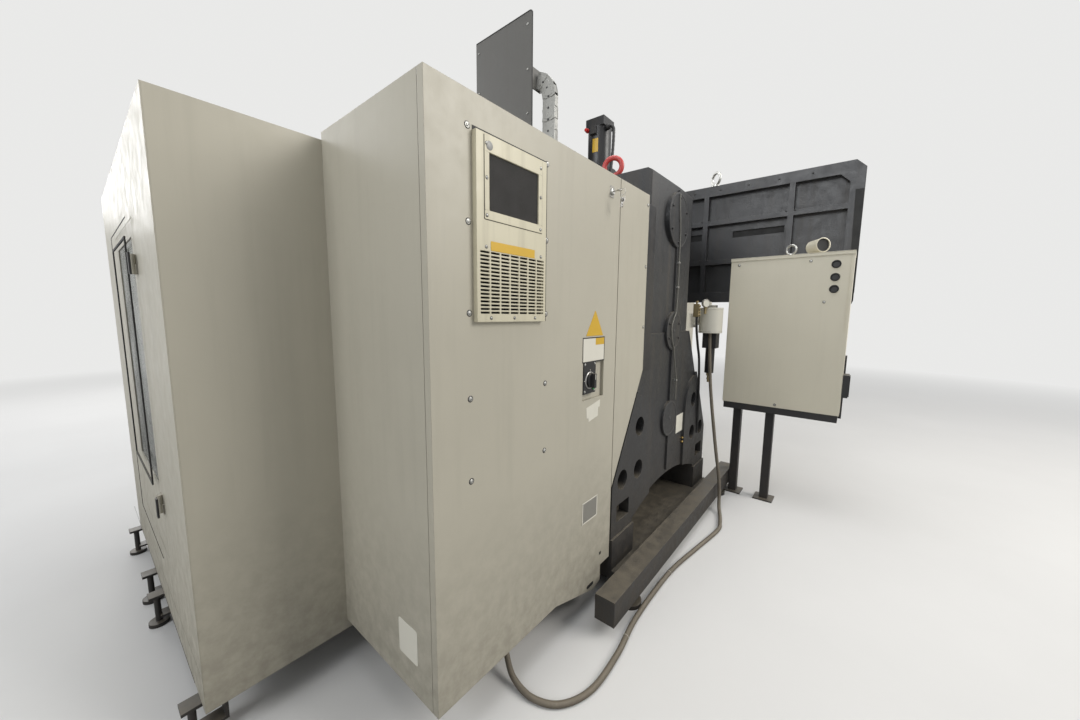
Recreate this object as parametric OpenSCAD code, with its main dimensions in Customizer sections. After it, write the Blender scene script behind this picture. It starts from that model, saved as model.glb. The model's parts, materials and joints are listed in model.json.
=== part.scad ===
// Vertical machining centre with a fixed column, seen from its rear.
// The front of the machine faces -Y, its right-hand side is +X, and the floor is Z = 0.
// X = 0 is the spindle's plane, and Y = 0 is halfway between the foremost and rearmost faces.

/* [Overall] */
// How far the operator's pendant stands in front of the enclosure
front_reach = 166; // [166:1:220]
// How far the tool magazine reaches behind the enclosure's rear wall
rear_reach = 1567; // [1500:1:1650]

/* [Enclosure] */
// Outer width of the enclosure
enclosure_w = 4836; // [4780:4:5000]
// Outer depth of the enclosure
enclosure_d = 1867; // [1860:1:1920]
// Height of the enclosure's lower edge above the floor
enclosure_bottom = 157; // [150:1:170]
// Height of the enclosure's upper edge above the floor
enclosure_top = 2157; // [2100:1:2300]
// Thickness of the enclosure's sheet metal
sheet_t = 3; // [2:0.5:4]
// Depth of the folded edges of the enclosure's panels
fold_d = 40; // [25:1:50]
// Height of the seam above the skirt on the side panels
skirt_z = 290; // [270:1:330]
// Gap left round the column where the rear panels meet it
column_gap = 15; // [8:1:25]

/* [Front doors] */
// Half width of the opening at the front
opening_half = 1050; // [900:1:1080]
// Height of the front sill
sill_z = 700; // [650:1:760]
// Height of the upper edge of the front opening
header_z = 1950; // [1880:1:2000]
// Thickness of the front doors
door_t = 36; // [30:1:40]
// Distance that a front door overlaps the edge of the opening
door_lap = 15; // [10:1:30]
// Thickness of the window glass
glass_t = 6; // [4:1:8]
// Width of the door frame round each front window
stile_w = 170; // [120:1:220]

/* [Side door] */
// Distance from the rear wall to the hinge edge of the side door
side_door_y = 523; // [500:1:560]
// Width of the side door
side_door_w = 710; // [650:1:760]
// Height of the side door's lower edge
side_door_z = 500; // [450:1:560]
// Height of the side door
side_door_h = 1364; // [1300:1:1420]
// Depth of the side door's folded edge
side_door_d = 25; // [20:1:30]
// Gap round the side door
side_gap = 3; // [2:0.5:5]
// Radius of the hinge knuckles
knuckle_r = 9; // [7:0.5:12]
// Height of each hinge
hinge_h = 74; // [60:1:90]

/* [Bed] */
// Height of the face that the column stands on
bed_top = 285; // [270:1:295]
// Height of the underside of the bed
bed_base = 60; // [50:1:75]
// Half width of the rear part of the bed
bed_rear_half = 1105; // [1000:1:1200]
// Half width of the front part of the bed
bed_front_half = 850; // [820:1:900]
// How far the bed reaches behind the column
bed_lip = 190; // [150:1:230]
// Width of the bed's rear beam
beam_w = 105; // [90:1:120]
// Half distance between the two Y ways
way_x = 700; // [660:1:720]
// Width of each Y way
way_w = 220; // [180:1:240]
// Height of the Y ways
way_top = 480; // [470:1:490]
// Height of the bed's hollow underside walls
bed_wall = 60; // [50:1:70]
// Radius of the holes for the floor anchors
anchor_r = 14; // [11:1:18]
// Side of the square lugs that hold the anchors
lug_w = 120; // [100:1:130]

/* [Column] */
// Half width of the column's shaft
shaft_half = 356; // [340:1:370]
// Half width of the column's foot
foot_half = 808; // [780:1:815]
// Height where the foot starts to narrow
foot_top = 583; // [560:1:600]
// Height where the foot has narrowed to the shaft
flare_top = 1405; // [1380:1:1430]
// Height of the column
column_top = 2385; // [2370:1:2450]
// How far the column's front stands before the enclosure's rear wall
column_inset = 103; // [95:1:110]
// Wall thickness of the column casting
column_wall = 45; // [35:1:50]
// Height of the arch's crown
arch_top = 406; // [400:1:420]
// Height where the arch springs
arch_spring = 305; // [300:1:315]
// Half width of the arch
arch_half = 550; // [520:1:570]
// Radius of the round core holes
core_r = 57; // [45:1:62]

/* [Axes] */
// Travel of the table to each side
x_travel = 900; // [800:1:900]
// Travel of the saddle each way
y_travel = 350; // [300:1:350]
// Travel of the head downwards
z_travel = 700; // [600:1:700]
// Distance from the column's front to the spindle
throat = 890; // [880:1:900]
// Width and height of the guide rails
rail_w = 45; // [35:1:50]
// Radius of the ball screws
screw_r = 25; // [20:1:27]
// Side of the axis motors
motor_w = 176; // [150:1:180]
// Length of the axis motors
motor_l = 300; // [250:1:320]
// Half distance between the Z rails
z_rail_x = 260; // [240:1:270]

/* [Saddle and table] */
// Half length of the saddle
saddle_half = 1350; // [1300:1:1400]
// Half depth of the saddle
saddle_d = 380; // [370:1:390]
// Height of the saddle's underside
saddle_z = 550; // [545:1:560]
// Thickness of the saddle
saddle_t = 190; // [170:1:200]
// Half distance between the X rails
x_rail_y = 270; // [250:1:280]
// Length of the table
table_l = 2000; // [1900:1:2000]
// Depth of the table
table_d = 760; // [700:1:760]
// Height of the table's face
table_z = 1000; // [990:1:1020]
// Height of the table's underside
table_base = 810; // [808:1:815]
// Width of the T-slots
slot_w = 22; // [18:1:28]
// Distance between the T-slots
slot_pitch = 125; // [100:1:125]
// Number of T-slots
slot_n = 5; // [3:2:5]

/* [Head] */
// Height of the spindle's nose with the head at the top
nose_z = 1850; // [1840:1:1880]
// Half width of the head casting
head_half = 397; // [380:1:400]
// Height of the top of the head casting
head_top = 2600; // [2560:1:2650]
// Height of the underside of the head casting's nose
head_base = 1950; // [1940:1:1990]
// How far the head casting reaches beyond the spindle
head_nose = 375; // [365:1:385]
// Height of the upper edge of the dark cover
cover_top = 3600; // [3500:1:3700]
// Radius of the dark cover's upper rear corner
cover_corner = 30; // [10:1:60]
// Height of the upper edge of the white front cover
front_cover_top = 3240; // [3200:1:3260]
// Distance from the column's front to the back of the dark cover
cover_back = 187; // [170:1:200]
// Depth of the dark cover
cover_d = 580; // [540:1:600]
// Radius of the spindle's shaft
spindle_r = 60; // [50:1:64]
// Radial clearance of the spindle in its bearings
spindle_fit = 0.05; // [0.02:0.01:0.1]
// Width of the cable carrier behind the head
carrier_w = 45; // [35:1:60]
// Thickness of the cable carrier
carrier_t = 120; // [100:1:130]
// Radius of the cable carrier's bend
carrier_r = 140; // [120:1:160]
// Side of the spindle motor
spindle_motor_w = 330; // [280:1:350]
// Length of the spindle motor
spindle_motor_l = 620; // [500:1:700]

/* [Cabinet] */
// Depth of the electrical cabinet
cabinet_d = 650; // [640:1:670]
// X of the cabinet's edge beside the column
cabinet_x0 = 483; // [475:1:495]
// X of the cabinet's edge beside the enclosure
cabinet_x1 = 1943; // [1900:1:1990]
// Height of the cabinet's underside
cabinet_z0 = 198; // [190:1:210]
// Height of the cabinet's top
cabinet_z1 = 2183; // [2160:1:2230]
// X of the seam between the door and the narrow cover
seam_x = 818; // [816:1:822]
// Height where the slanted edge starts
slant_z0 = 586; // [580:1:592]
// Height where the slanted edge ends
slant_z1 = 1143; // [1130:1:1160]
// Thickness of the cabinet's door and narrow cover
cabinet_door_t = 28; // [25:1:30]
// Gap between the cabinet's door and its shell
cabinet_gap = 2; // [1.5:0.5:3]

/* [Cooling unit] */
// X of the cooling unit's edge nearest the hinge
cool_x1 = 1774; // [1760:1:1780]
// Width of the cooling unit
cool_w = 344; // [320:1:350]
// Height of the cooling unit's lower edge
cool_z = 1492; // [1480:1:1500]
// Height of the cooling unit
cool_h = 581; // [570:1:590]
// How far the cooling unit's front stands off the door
cool_proud = 18; // [12:1:24]
// Depth of the cooling unit behind the door
cool_depth = 260; // [200:1:280]
// Rows of slots in the grille
grille_rows = 17; // [10:1:17]
// Columns of slots in the grille
grille_cols = 7; // [4:1:7]

/* [Isolator and lock] */
// X of the middle of the isolator's recess
isolator_x = 1033; // [1025:1:1040]
// Height of the middle of the isolator's recess
isolator_z = 1213; // [1200:1:1225]
// Side of the isolator's recess
isolator_w = 186; // [176:1:190]
// Radius of the rotary handle
isolator_r = 34; // [28:1:38]
// X of the door lock
lock_x = 909; // [900:1:915]
// Height of the door lock
lock_z = 2099; // [2090:1:2110]

/* [Tool magazine] */
// Distance from the spindle's plane to the inner face of the magazine frame
mag_x = 1107; // [1100:1:1115]
// Depth of the frame's ribs
rib_d = 53; // [40:1:60]
// Height of the magazine frame's top
mag_top = 2650; // [2650:1:2700]
// Height of the magazine frame's underside
mag_base = 1640; // [1600:1:1700]
// Thickness of the frame's web
web_t = 20; // [15:1:25]
// Distance between neighbouring tool pots
pot_pitch = 125; // [122:1:126]
// Number of tool pots
pot_n = 48; // [44:2:48]
// Teeth of the chain sprocket
sprocket_n = 14; // [14:1:14]
// Radius of a tool pot
pot_r = 50; // [44:1:52]
// Length of a tool pot
pot_l = 135; // [120:1:140]
// Height of the lower run of the chain
chain_z = 2040; // [2038:1:2045]

/* [Tool arm] */
// Thickness of the tool arm
arm_t = 36; // [30:1:40]
// Width of the tool arm
arm_w = 90; // [80:1:100]
// Radius of a gripper's notch
grip_r = 53; // [52:0.5:54]
// Travel of the arm downwards
arm_drop = 180; // [150:1:200]

/* [Chiller] */
// Distance from the spindle's plane to the chiller's face
chiller_x = 822; // [800:1:840]
// Width of the chiller along Y
chiller_w = 773; // [740:1:780]
// Distance from the chiller's rear edge to the back of the magazine frame
chiller_inset = 11; // [5:1:20]
// Height of the chiller's underside
chiller_z0 = 814; // [800:1:830]
// Height of the chiller's top
chiller_z1 = 1971; // [1950:1:1985]
// Height of the channel under the chiller
channel_h = 53; // [45:1:60]

/* [Pendant] */
// X of the pendant's edge furthest from its hinge
pendant_x0 = 1250; // [1240:1:1280]
// Width of the pendant
pendant_w = 500; // [480:1:510]
// Height of the pendant's underside
pendant_z0 = 1000; // [980:1:1020]
// Height of the pendant
pendant_h = 750; // [720:1:760]
// Thickness of the pendant
pendant_t = 100; // [90:1:104]
// Radius of the emergency stop button
estop_r = 20; // [18:1:22]
// Radius of the handwheel
wheel_r = 42; // [36:1:45]

/* [Lubrication unit] */
// Radius of the oil reservoir
lube_r = 85; // [75:1:90]
// Height of the oil reservoir
lube_h = 195; // [180:1:210]
// Height of the reservoir's underside
lube_z = 1385; // [1370:1:1400]
// Radius of the cable that lies along the bed
cable_r = 13; // [10:1:15]

/* [Hidden] */
$fn = 48;
// Overlap that makes a cut pass through a face
eps = 1;
// Gap between a piece and the seat that it slides or turns on
seat = 0.3;

// Main planes along Y
front_y = -(front_reach + enclosure_d + rear_reach) / 2 + front_reach;
wall_y = front_y + enclosure_d;
back_y = wall_y + rear_reach;
face_y = wall_y + cabinet_d;
column_y = wall_y - column_inset;
spindle_y = column_y - throat;
bed_rear_y = face_y + bed_lip;
bed_mid_half = foot_half + 4;
bed_ear_top = cabinet_z0 - 10;
bed_step_y = column_y - 30;
bed_front_y = spindle_y - y_travel - saddle_d - 30;
half_w = enclosure_w / 2;
inner_w = half_w - sheet_t;

// Heights of the stacked axes
way_end_y = column_y - 70;
y_screw_z = 430;
x_screw_z = table_base - 20;
saddle_top = saddle_z + saddle_t;
channel_w = 90;
z_screw_y = column_y + 126;
z_screw_base = nose_z - z_travel - 430;
block_l = 180;
y_block = saddle_d - block_l / 2 - 40;
x_block = 400;
rail_fit = 0.5;

// Cable carrier behind the head
carrier_x = 312;
carrier_y = column_y - 80;
carrier_foot = head_top + 30;
carrier_bend = 3020;

// Front door and pendant places
door_y = front_y + sheet_t + 5;
door_back = door_y + door_t;
pendant_back = front_y - 31;
pendant_face = pendant_back - pendant_t;
pendant_x1 = pendant_x0 + pendant_w;
hinge_x = pendant_x1 + 30;
hinge_y = pendant_back - 20;
button_z = pendant_z0 + 180;

// Side door places
sd_y1 = wall_y - side_door_y;
sd_y0 = sd_y1 - side_door_w;
sd_z1 = side_door_z + side_door_h;
hinge_zs = [side_door_z + 203, sd_z1 - 210];

// Cabinet places
door_face = face_y;
door_in = face_y - cabinet_door_t;
shell_face = door_in - cabinet_gap;
cab_hinge = [cabinet_x1 - 6, face_y - 15];
cool_x0 = cool_x1 - cool_w;
skirt_x = [916, 982, 1305];

// Magazine places
mag_front_y = spindle_y - 340;
mag_step_y = wall_y - 233;
mag_raised = 1930;
web_x = mag_x + rib_d;
web_out = web_x + web_t;
pitch_r = sprocket_n * pot_pitch / (2 * PI);
run_l = (pot_n - sprocket_n) * pot_pitch / 2;
chain_mid = chain_z + pitch_r;
run_n = floor(run_l / pot_pitch) + 1;
bend_n = sprocket_n / 2 - 1;
roller_x = web_out + 6;
roller_r = 19;
link_x = roller_x + 22;
pot_x = link_x + 12;
pot_hinge_x = pot_x + 15;
grip_x = pot_hinge_x + pot_r;
arm_x = grip_x / 2;
arm_r = grip_x / 2;
arm_z = nose_z - 46;

// Chiller places
chiller_y1 = back_y - chiller_inset;
chiller_y0 = chiller_y1 - chiller_w;

// Route of the cable from the lubrication unit over the floor to the cabinet
cable_route = [[-588, 949, 1384.7], [-588, 952, 1300], [-584, 962, 1150], [-577, 982, 950],
    [-566, 1018, 700], [-553, 1062, 430], [-547, 1088, 290], [-541, 1104, 160],
    [-526, 1111, 80], [-486, 1124, 31], [-420, 1148, 14], [-300, 1180, 14], [-180, 1194, 14],
    [145, 1146, 14], [420, 1106, 14], [678, 1096, 14], [950, 1102, 14], [1170, 1128, 14],
    [1380, 1128, 14], [1510, 1070, 14], [1565, 970, 14], [1560, 860, 26], [1530, 790, 70],
    [1514, 762, 130], [1510, 756, 197.5]];

// A block between two corners
module slab(x, y, z) {
    translate([x[0], y[0], z[0]]) cube([x[1] - x[0], y[1] - y[0], z[1] - z[0]]);
}

// Children and their copy on the other side of the machine
module both() {
    children();
    mirror([1, 0, 0]) children();
}

// An outline in X and Z, made solid from y0 to y1
module xz(y0, y1) {
    translate([0, y1, 0]) rotate([90, 0, 0]) linear_extrude(y1 - y0) children();
}

// An outline in Y and Z, made solid from x0 to x1
module yz(x0, x1) {
    translate([x0, 0, 0]) rotate([90, 0, 90]) linear_extrude(x1 - x0) children();
}

// Round bars along X, Y and Z
module rod_x(p, r, l) { translate(p) rotate([0, 90, 0]) cylinder(r = r, h = l); }
module rod_y(p, r, l) { translate(p) rotate([-90, 0, 0]) cylinder(r = r, h = l); }
module rod_z(p, r, l) { translate(p) cylinder(r = r, h = l); }

// A sheet between two corners, folded back along Y on its four edges
module pan_y(x, y, z, t, out) {
    difference() {
        slab(x, y, z);
        slab([x[0] + t, x[1] - t], out > 0 ? [y[0] - eps, y[1] - t] : [y[0] + t, y[1] + eps],
            [z[0] + t, z[1] - t]);
    }
}

// Floor, bed and column

module bed_lugs() {
    for (y = [bed_front_y + 140, bed_step_y - 80])
        slab([bed_front_half, bed_front_half + lug_w],
            [y - lug_w / 2, y + lug_w / 2], [bed_base, bed_base + 40]);
}

module bed_screw_blocks() {
    for (y = [bed_front_y + 20, way_end_y - 50])
        slab([-75, 75], [y, y + 50], [bed_top, y_screw_z + 70]);
}

module bed() {
    color("dimgray") difference() {
        union() {
            slab([-bed_mid_half, bed_mid_half], [bed_step_y - eps, face_y + 12],
                [bed_base, bed_top]);
            // Rear beam, and the trough between it and the bed
            slab([-bed_rear_half, bed_rear_half], [bed_rear_y - beam_w, bed_rear_y],
                [bed_base, bed_ear_top]);
            slab([-bed_mid_half, bed_mid_half], [face_y + 12 - eps, bed_rear_y - beam_w + eps],
                [bed_base, bed_base + 50]);
            slab([-bed_front_half, bed_front_half], [bed_front_y, bed_step_y],
                [bed_base, bed_top]);
            both() slab([way_x - way_w / 2, way_x + way_w / 2],
                [bed_front_y, way_end_y], [bed_top, way_top]);
            bed_screw_blocks();
            both() bed_lugs();
        }
        // Hollow undersides
        both() slab([20, bed_front_half - bed_wall], [bed_front_y + bed_wall, bed_step_y],
            [bed_base - eps, bed_top - 50]);
        both() slab([arch_half + bed_wall, bed_mid_half - bed_wall],
            [bed_step_y + bed_wall, face_y + 12 - bed_wall], [bed_base - eps, bed_top - 50]);
        slab([60 - bed_mid_half, bed_mid_half - 60], [bed_rear_y - beam_w + 25, bed_rear_y - 25],
            [bed_base - eps, bed_ear_top - 25]);
        // Sump under the arch
        slab([-arch_half, arch_half], [column_y + 250, face_y + 12 + eps],
            [bed_base + 50, bed_top + eps]);
        // Bore for the Y screw
        rod_y([0, bed_front_y, y_screw_z], screw_r + spindle_fit, way_end_y - bed_front_y + eps);
        both() for (y = [bed_front_y + 140, bed_step_y - 80])
            rod_z([bed_front_half + lug_w / 2, y, bed_base - eps], anchor_r, 60);
    }
}

module foot(p, top) {
    rod_z([p[0], p[1], 0], 65, 22);
    rod_z([p[0], p[1], 22], 24, top - 22);
}

module side_foot(y) {
    x = half_w + 25;
    rod_z([x, y, 0], 38, 18);
    rod_z([x, y, 18], 12, enclosure_bottom - 18);
    slab([half_w - 70, x + 30], [y - 30, y + 30], [enclosure_bottom - 12, enclosure_bottom]);
    slab([half_w - 70, half_w + 20], [y - 30, y + 30], [40, 50]);
    slab([half_w - 70, half_w - 60], [y - 30, y + 30], [50, enclosure_bottom - 12]);
}

module levelling_feet() {
    color("black") both() {
        for (y = [bed_front_y + 30, spindle_y, bed_step_y - 130])
            foot([bed_front_half - 30, y], bed_base);
        foot([bed_mid_half + 18, bed_rear_y - beam_w / 2 - 6], bed_base);
        foot([bed_mid_half - 30, bed_step_y + 450], bed_base);
        for (y = [front_y + 74, spindle_y - 162, spindle_y + 76, wall_y - 90]) side_foot(y);
    }
}

module foot_outline(g) {
    polygon([[-foot_half + g, bed_top], [foot_half - g, bed_top], [foot_half - g, foot_top],
        [shaft_half - g, flare_top], [-shaft_half + g, flare_top], [-foot_half + g, foot_top]]);
}

module arch_outline() {
    rise = arch_top - arch_spring;
    r = (arch_half * arch_half + rise * rise) / (2 * rise);
    intersection() {
        translate([0, arch_top - r]) circle(r = r, $fn = 180);
        translate([-arch_half, bed_top - eps]) square([2 * arch_half, arch_top]);
    }
}

// The rear face of the buttress that stands proud, bounded by a curve
module buttress_outline() {
    difference() {
        foot_outline(0);
        translate([-foot_half, bed_top - eps]) square([foot_half + 308, flare_top]);
        translate([308, 780]) scale([1, 1.35]) difference() {
            translate([-eps, 0]) square([500, 600]);
            translate([200, 0]) circle(r = 200);
            translate([200, -300]) square([600, 520]);
        }
    }
}

module column_boss(z, r) { rod_y([0, face_y - 55, z], r, 52); }

module column() {
    ridge_y = face_y - 15;
    edge_y = face_y - 45;
    color([0.23, 0.23, 0.24]) difference() {
        union() {
            xz(column_y, face_y - 18) foot_outline(0);
            translate([0, 0, flare_top]) linear_extrude(column_top - flare_top)
                polygon([[-shaft_half, column_y], [shaft_half, column_y], [shaft_half, edge_y],
                    [0, ridge_y], [-shaft_half, edge_y]]);
            both() xz(face_y - 30, face_y) buttress_outline();
            slab([-14, 14], [face_y - 60, face_y - 4], [arch_top + 30, column_top - 60]);
            column_boss(2137, 175);
            column_boss(1415, 130);
            column_boss(808, 125);
        }
        // Hollow rear box, open to the arch
        xz(column_y + 250, face_y - 18 - column_wall)
            difference() {
                foot_outline(column_wall);
                translate([-shaft_half, flare_top - column_wall])
                    square([2 * shaft_half, 2 * column_wall]);
            }
        xz(column_y + 250, face_y - 45 - column_wall)
            translate([-shaft_half + column_wall, bed_top - eps])
                square([2 * (shaft_half - column_wall), column_top - bed_top - 50]);
        // Hollow front pillars
        both() slab([150, shaft_half - column_wall], [column_y + 50, column_y + 251],
            [bed_top + column_wall, column_top - column_wall]);
        // Channel for the Z screw, and the opening for the Y motor below it
        difference() {
            slab([-110, 110], [column_y - eps, column_y + 200],
                [bed_top - eps, column_top - 60]);
            difference() {
                slab([-111, 111], [z_screw_y - 50, column_y + 201],
                    [z_screw_base, z_screw_base + 60]);
                rod_z([0, z_screw_y, z_screw_base - eps], screw_r + spindle_fit, 62);
            }
        }
        slab([-130, 130], [column_y - eps, column_y + 251], [bed_top - eps, y_screw_z + 110]);
        rod_z([0, z_screw_y, column_top - 61], screw_r + spindle_fit, 62);
        // Arch, core holes and hand holes through the rear wall
        xz(face_y - 100, face_y + eps) arch_outline();
        both() for (p = [[489, 860], [489, 595], [692, 595]])
            rod_y([p[0], face_y - 100, p[1]], core_r, 101);
        both() slab([600, 750], [face_y - 100, face_y + eps], [360, 460]);
        // Bevel along the top edges
        translate([-500, edge_y - 30, column_top]) rotate([-32, 0, 0]) cube([1000, 200, 100]);
    }
}

module column_eyebolt() {
    c = [280, wall_y + 299, column_top];
    color("firebrick") {
        rod_z(c, 30, 18);
        translate(c + [0, 0, 83]) rotate([0, 90, 20]) rotate_extrude()
            translate([55, 0]) circle(r = 16, $fn = 24);
    }
}

module axis_rails() {
    color("silver") both() {
        slab([way_x - rail_w / 2, way_x + rail_w / 2], [bed_front_y + 10, way_end_y - 10],
            [way_top, way_top + rail_w]);
        slab([z_rail_x - rail_w / 2, z_rail_x + rail_w / 2], [column_y - rail_w, column_y],
            [nose_z - z_travel - 470, column_top - 25]);
    }
}

// A bearing that carries a screw stands round it with a fitted bore
module y_screw() {
    color("lightgray") rod_y([0, bed_front_y + 22, y_screw_z], screw_r, way_end_y - bed_front_y - 32);
}

module z_screw() {
    color("lightgray") rod_z([0, z_screw_y, z_screw_base + 2], screw_r,
        column_top - z_screw_base + 58);
}

// A square motor with a flange, along +Z from its seat
module motor(l, w) {
    slab([-w / 2, w / 2], [-w / 2, w / 2], [0, 18]);
    rod_z([0, 0, 18], w / 2 - 4, l - 18 - 60);
    slab([-w / 2 + 14, w / 2 - 14], [-w / 2 + 14, w / 2 - 14], [l - 60, l]);
    slab([w / 2 - 30, w / 2 + 16], [-24, 24], [l - 120, l - 66]);
}

module axis_motors() {
    color([0.08, 0.08, 0.09]) {
        // Y motor behind its bearing block, under the column
        translate([0, way_end_y, y_screw_z]) rotate([-90, 0, 0]) motor(motor_l, motor_w);
        // Z motor on its lantern on top of the column
        translate([0, z_screw_y, column_top]) difference() {
            slab([-105, 105], [-105, 105], [0, 190]);
            rod_z([0, 0, -eps], 70, 200);
            slab([-120, 120], [-60, 60], [50, 150]);
        }
        translate([0, z_screw_y, column_top + 190]) motor(motor_l + 50, motor_w);
    }
}

// Saddle and table

module rail_block(p) {
    difference() {
        slab([p[0] - 60, p[0] + 60], [p[1] - block_l / 2, p[1] + block_l / 2],
            [way_top + 12, saddle_z + eps]);
        slab([p[0] - rail_w / 2 - rail_fit, p[0] + rail_w / 2 + rail_fit],
            [p[1] - block_l, p[1] + block_l], [way_top, way_top + rail_w + rail_fit]);
    }
}

module saddle() {
    color("dimgray") difference() {
        union() {
            slab([-saddle_half, saddle_half], [spindle_y - saddle_d, spindle_y + saddle_d],
                [saddle_z, saddle_top]);
            both() for (s = [-1, 1]) rail_block([way_x, spindle_y + s * y_block]);
            slab([-70, 70], [spindle_y - 90, spindle_y + 90], [y_screw_z - 60, saddle_z + eps]);
            for (s = [-1, 1]) slab([-saddle_half, saddle_half],
                [spindle_y + s * x_rail_y - rail_w / 2, spindle_y + s * x_rail_y + rail_w / 2],
                [saddle_top - eps, saddle_top + rail_w]);
            for (x = [-saddle_half, saddle_half - 50]) slab([x, x + 50],
                [spindle_y - 55, spindle_y + 55], [saddle_top - eps, x_screw_z + 50]);
        }
        rod_y([0, spindle_y - 100, y_screw_z], screw_r + rail_fit, 200);
        rod_x([-saddle_half - eps, spindle_y, x_screw_z], screw_r + spindle_fit,
            2 * saddle_half + 2 * eps);
        // Pockets in the underside
        both() for (x = [120, 900]) slab([x, x + 380], [spindle_y - 300, spindle_y + 300],
            [saddle_z - eps, saddle_top - 60]);
    }
}

module x_screw() {
    color("lightgray") rod_x([-saddle_half + 1, spindle_y, x_screw_z], screw_r,
        2 * saddle_half - 2);
}

module x_motor() {
    color([0.08, 0.08, 0.09]) translate([-saddle_half, spindle_y, x_screw_z])
        rotate([0, -90, 0]) rotate([0, 0, 180]) motor(230, 150);
}

module table() {
    color("lightslategray") difference() {
        union() {
            slab([-table_l / 2, table_l / 2], [spindle_y - table_d / 2, spindle_y + table_d / 2],
                [table_base, table_z]);
            for (s = [-1, 1], x = [-x_block, x_block]) difference() {
                slab([x - block_l / 2, x + block_l / 2],
                    [spindle_y + s * x_rail_y - 60, spindle_y + s * x_rail_y + 60],
                    [saddle_top + 12, table_base + eps]);
                slab([x - block_l, x + block_l],
                    [spindle_y + s * x_rail_y - rail_w / 2 - rail_fit,
                     spindle_y + s * x_rail_y + rail_w / 2 + rail_fit],
                    [saddle_top, saddle_top + rail_w + rail_fit]);
            }
            slab([-60, 60], [spindle_y - channel_w - eps, spindle_y + channel_w + eps],
                [x_screw_z - 35, table_base + 70]);
        }
        // Channel for the X screw and its motor
        for (s = [-1, 1]) slab(s > 0 ? [60, table_l / 2 + eps] : [-table_l / 2 - eps, -60],
            [spindle_y - channel_w, spindle_y + channel_w], [table_base - 60, table_base + 70]);
        rod_x([-61, spindle_y, x_screw_z], screw_r + rail_fit, 122);
        // Hollow underside
        both() for (s = [-1, 1]) slab([x_block + block_l / 2 + 20, table_l / 2 - 40],
            [spindle_y + s * 240 - 110, spindle_y + s * 240 + 110],
            [table_base - eps, table_base + 90]);
        for (s = [-1, 1]) slab([-x_block + block_l / 2 + 20, x_block - block_l / 2 - 20],
            [spindle_y + s * 240 - 110, spindle_y + s * 240 + 110],
            [table_base - eps, table_base + 90]);
        // T-slots and the gutters beside them
        for (i = [0 : slot_n - 1]) {
            y = spindle_y + (i - (slot_n - 1) / 2) * slot_pitch;
            slab([-table_l, table_l], [y - slot_w / 2, y + slot_w / 2], [table_z - 40, table_z + eps]);
            slab([-table_l, table_l], [y - slot_w * 0.85, y + slot_w * 0.85],
                [table_z - 40, table_z - 22]);
        }
        for (s = [-1, 1]) slab([-table_l, table_l],
            [spindle_y + s * (table_d / 2 - 32) - 14, spindle_y + s * (table_d / 2 - 32) + 14],
            [table_z - 16, table_z + eps]);
    }
}

// Head and spindle

module head_outline() {
    polygon([[column_y - 62, nose_z - 430], [column_y - 62, head_top - 200],
        [column_y - cover_back, head_top], [spindle_y - head_nose, head_top],
        [spindle_y - head_nose, head_base + 120], [spindle_y - head_nose + 110, head_base],
        [spindle_y + 200, head_base], [column_y - 144, nose_z - 80],
        [column_y - 144, nose_z - 430]]);
}

module z_block(z) {
    difference() {
        slab([z_rail_x - 60, z_rail_x + 60], [column_y - 62 - eps, column_y - 12],
            [z - block_l / 2, z + block_l / 2]);
        slab([z_rail_x - rail_w / 2 - rail_fit, z_rail_x + rail_w / 2 + rail_fit],
            [column_y - rail_w - rail_fit, column_y], [z - block_l, z + block_l]);
    }
}

module head() {
    color("dimgray") difference() {
        union() {
            yz(-head_half, head_half) head_outline();
            both() for (z = [nose_z - 320, head_top - 320]) z_block(z);
            // Nut bracket that reaches into the column's channel
            slab([-80, 80], [column_y - 62 - eps, z_screw_y + 60], [nose_z - 200, nose_z - 60]);
            rod_z([0, spindle_y, nose_z + 20], 140, head_base - nose_z);
        }
        rod_z([0, spindle_y, nose_z - eps], spindle_r + spindle_fit, head_top - nose_z + 2 * eps);
        rod_z([0, z_screw_y, nose_z - 201], screw_r + rail_fit, 142);
        // Hollow sides
        both() slab([170, head_half - 40], [spindle_y - head_nose + 60, column_y - 300],
            [head_base + 160, head_top + eps]);
    }
}

// Side view of the dark cover, a sheet whose upper rear corner is round
module cover_outline(y0, y1, z0) {
    hull() {
        translate([y0, z0]) square([y1 - y0, 10]);
        translate([y0, cover_top - 10]) square(10);
        translate([y1 - cover_corner, cover_top - cover_corner]) circle(r = cover_corner);
    }
}

module head_side_cover() {
    y1 = column_y - cover_back;
    y0 = y1 - cover_d;
    color([0.3, 0.31, 0.32]) {
        yz(head_half, head_half + sheet_t) cover_outline(y0, y1, head_top - 300);
        // Stiffeners on the inner side, and the bracket that holds the cable carrier
        for (y = [y0 + 60, y1 - 130]) slab([head_half - 30, head_half + eps], [y, y + 40],
            [head_top, cover_top - 80]);
        slab([carrier_x - 4, head_half + eps], [y1 - 8, y1],
            [carrier_bend + carrier_r - 70, carrier_bend + carrier_r + 70]);
    }
}

module head_front_cover() {
    y1 = column_y - cover_back - cover_d;
    y0 = spindle_y - head_nose - sheet_t;
    x = head_half + sheet_t;
    color("whitesmoke") difference() {
        union() {
            both() slab([head_half, x], [y0, y1], [head_base + 130, front_cover_top]);
            slab([-head_half - eps, head_half + eps], [y0, y0 + sheet_t],
                [head_base + 130, front_cover_top]);
            slab([-head_half - eps, head_half + eps], [y0 + eps, y1],
                [front_cover_top - sheet_t, front_cover_top]);
        }
        // Hole round the spindle motor's fan
        rod_z([0, spindle_y, front_cover_top - 10], 135, 20);
    }
}

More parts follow.
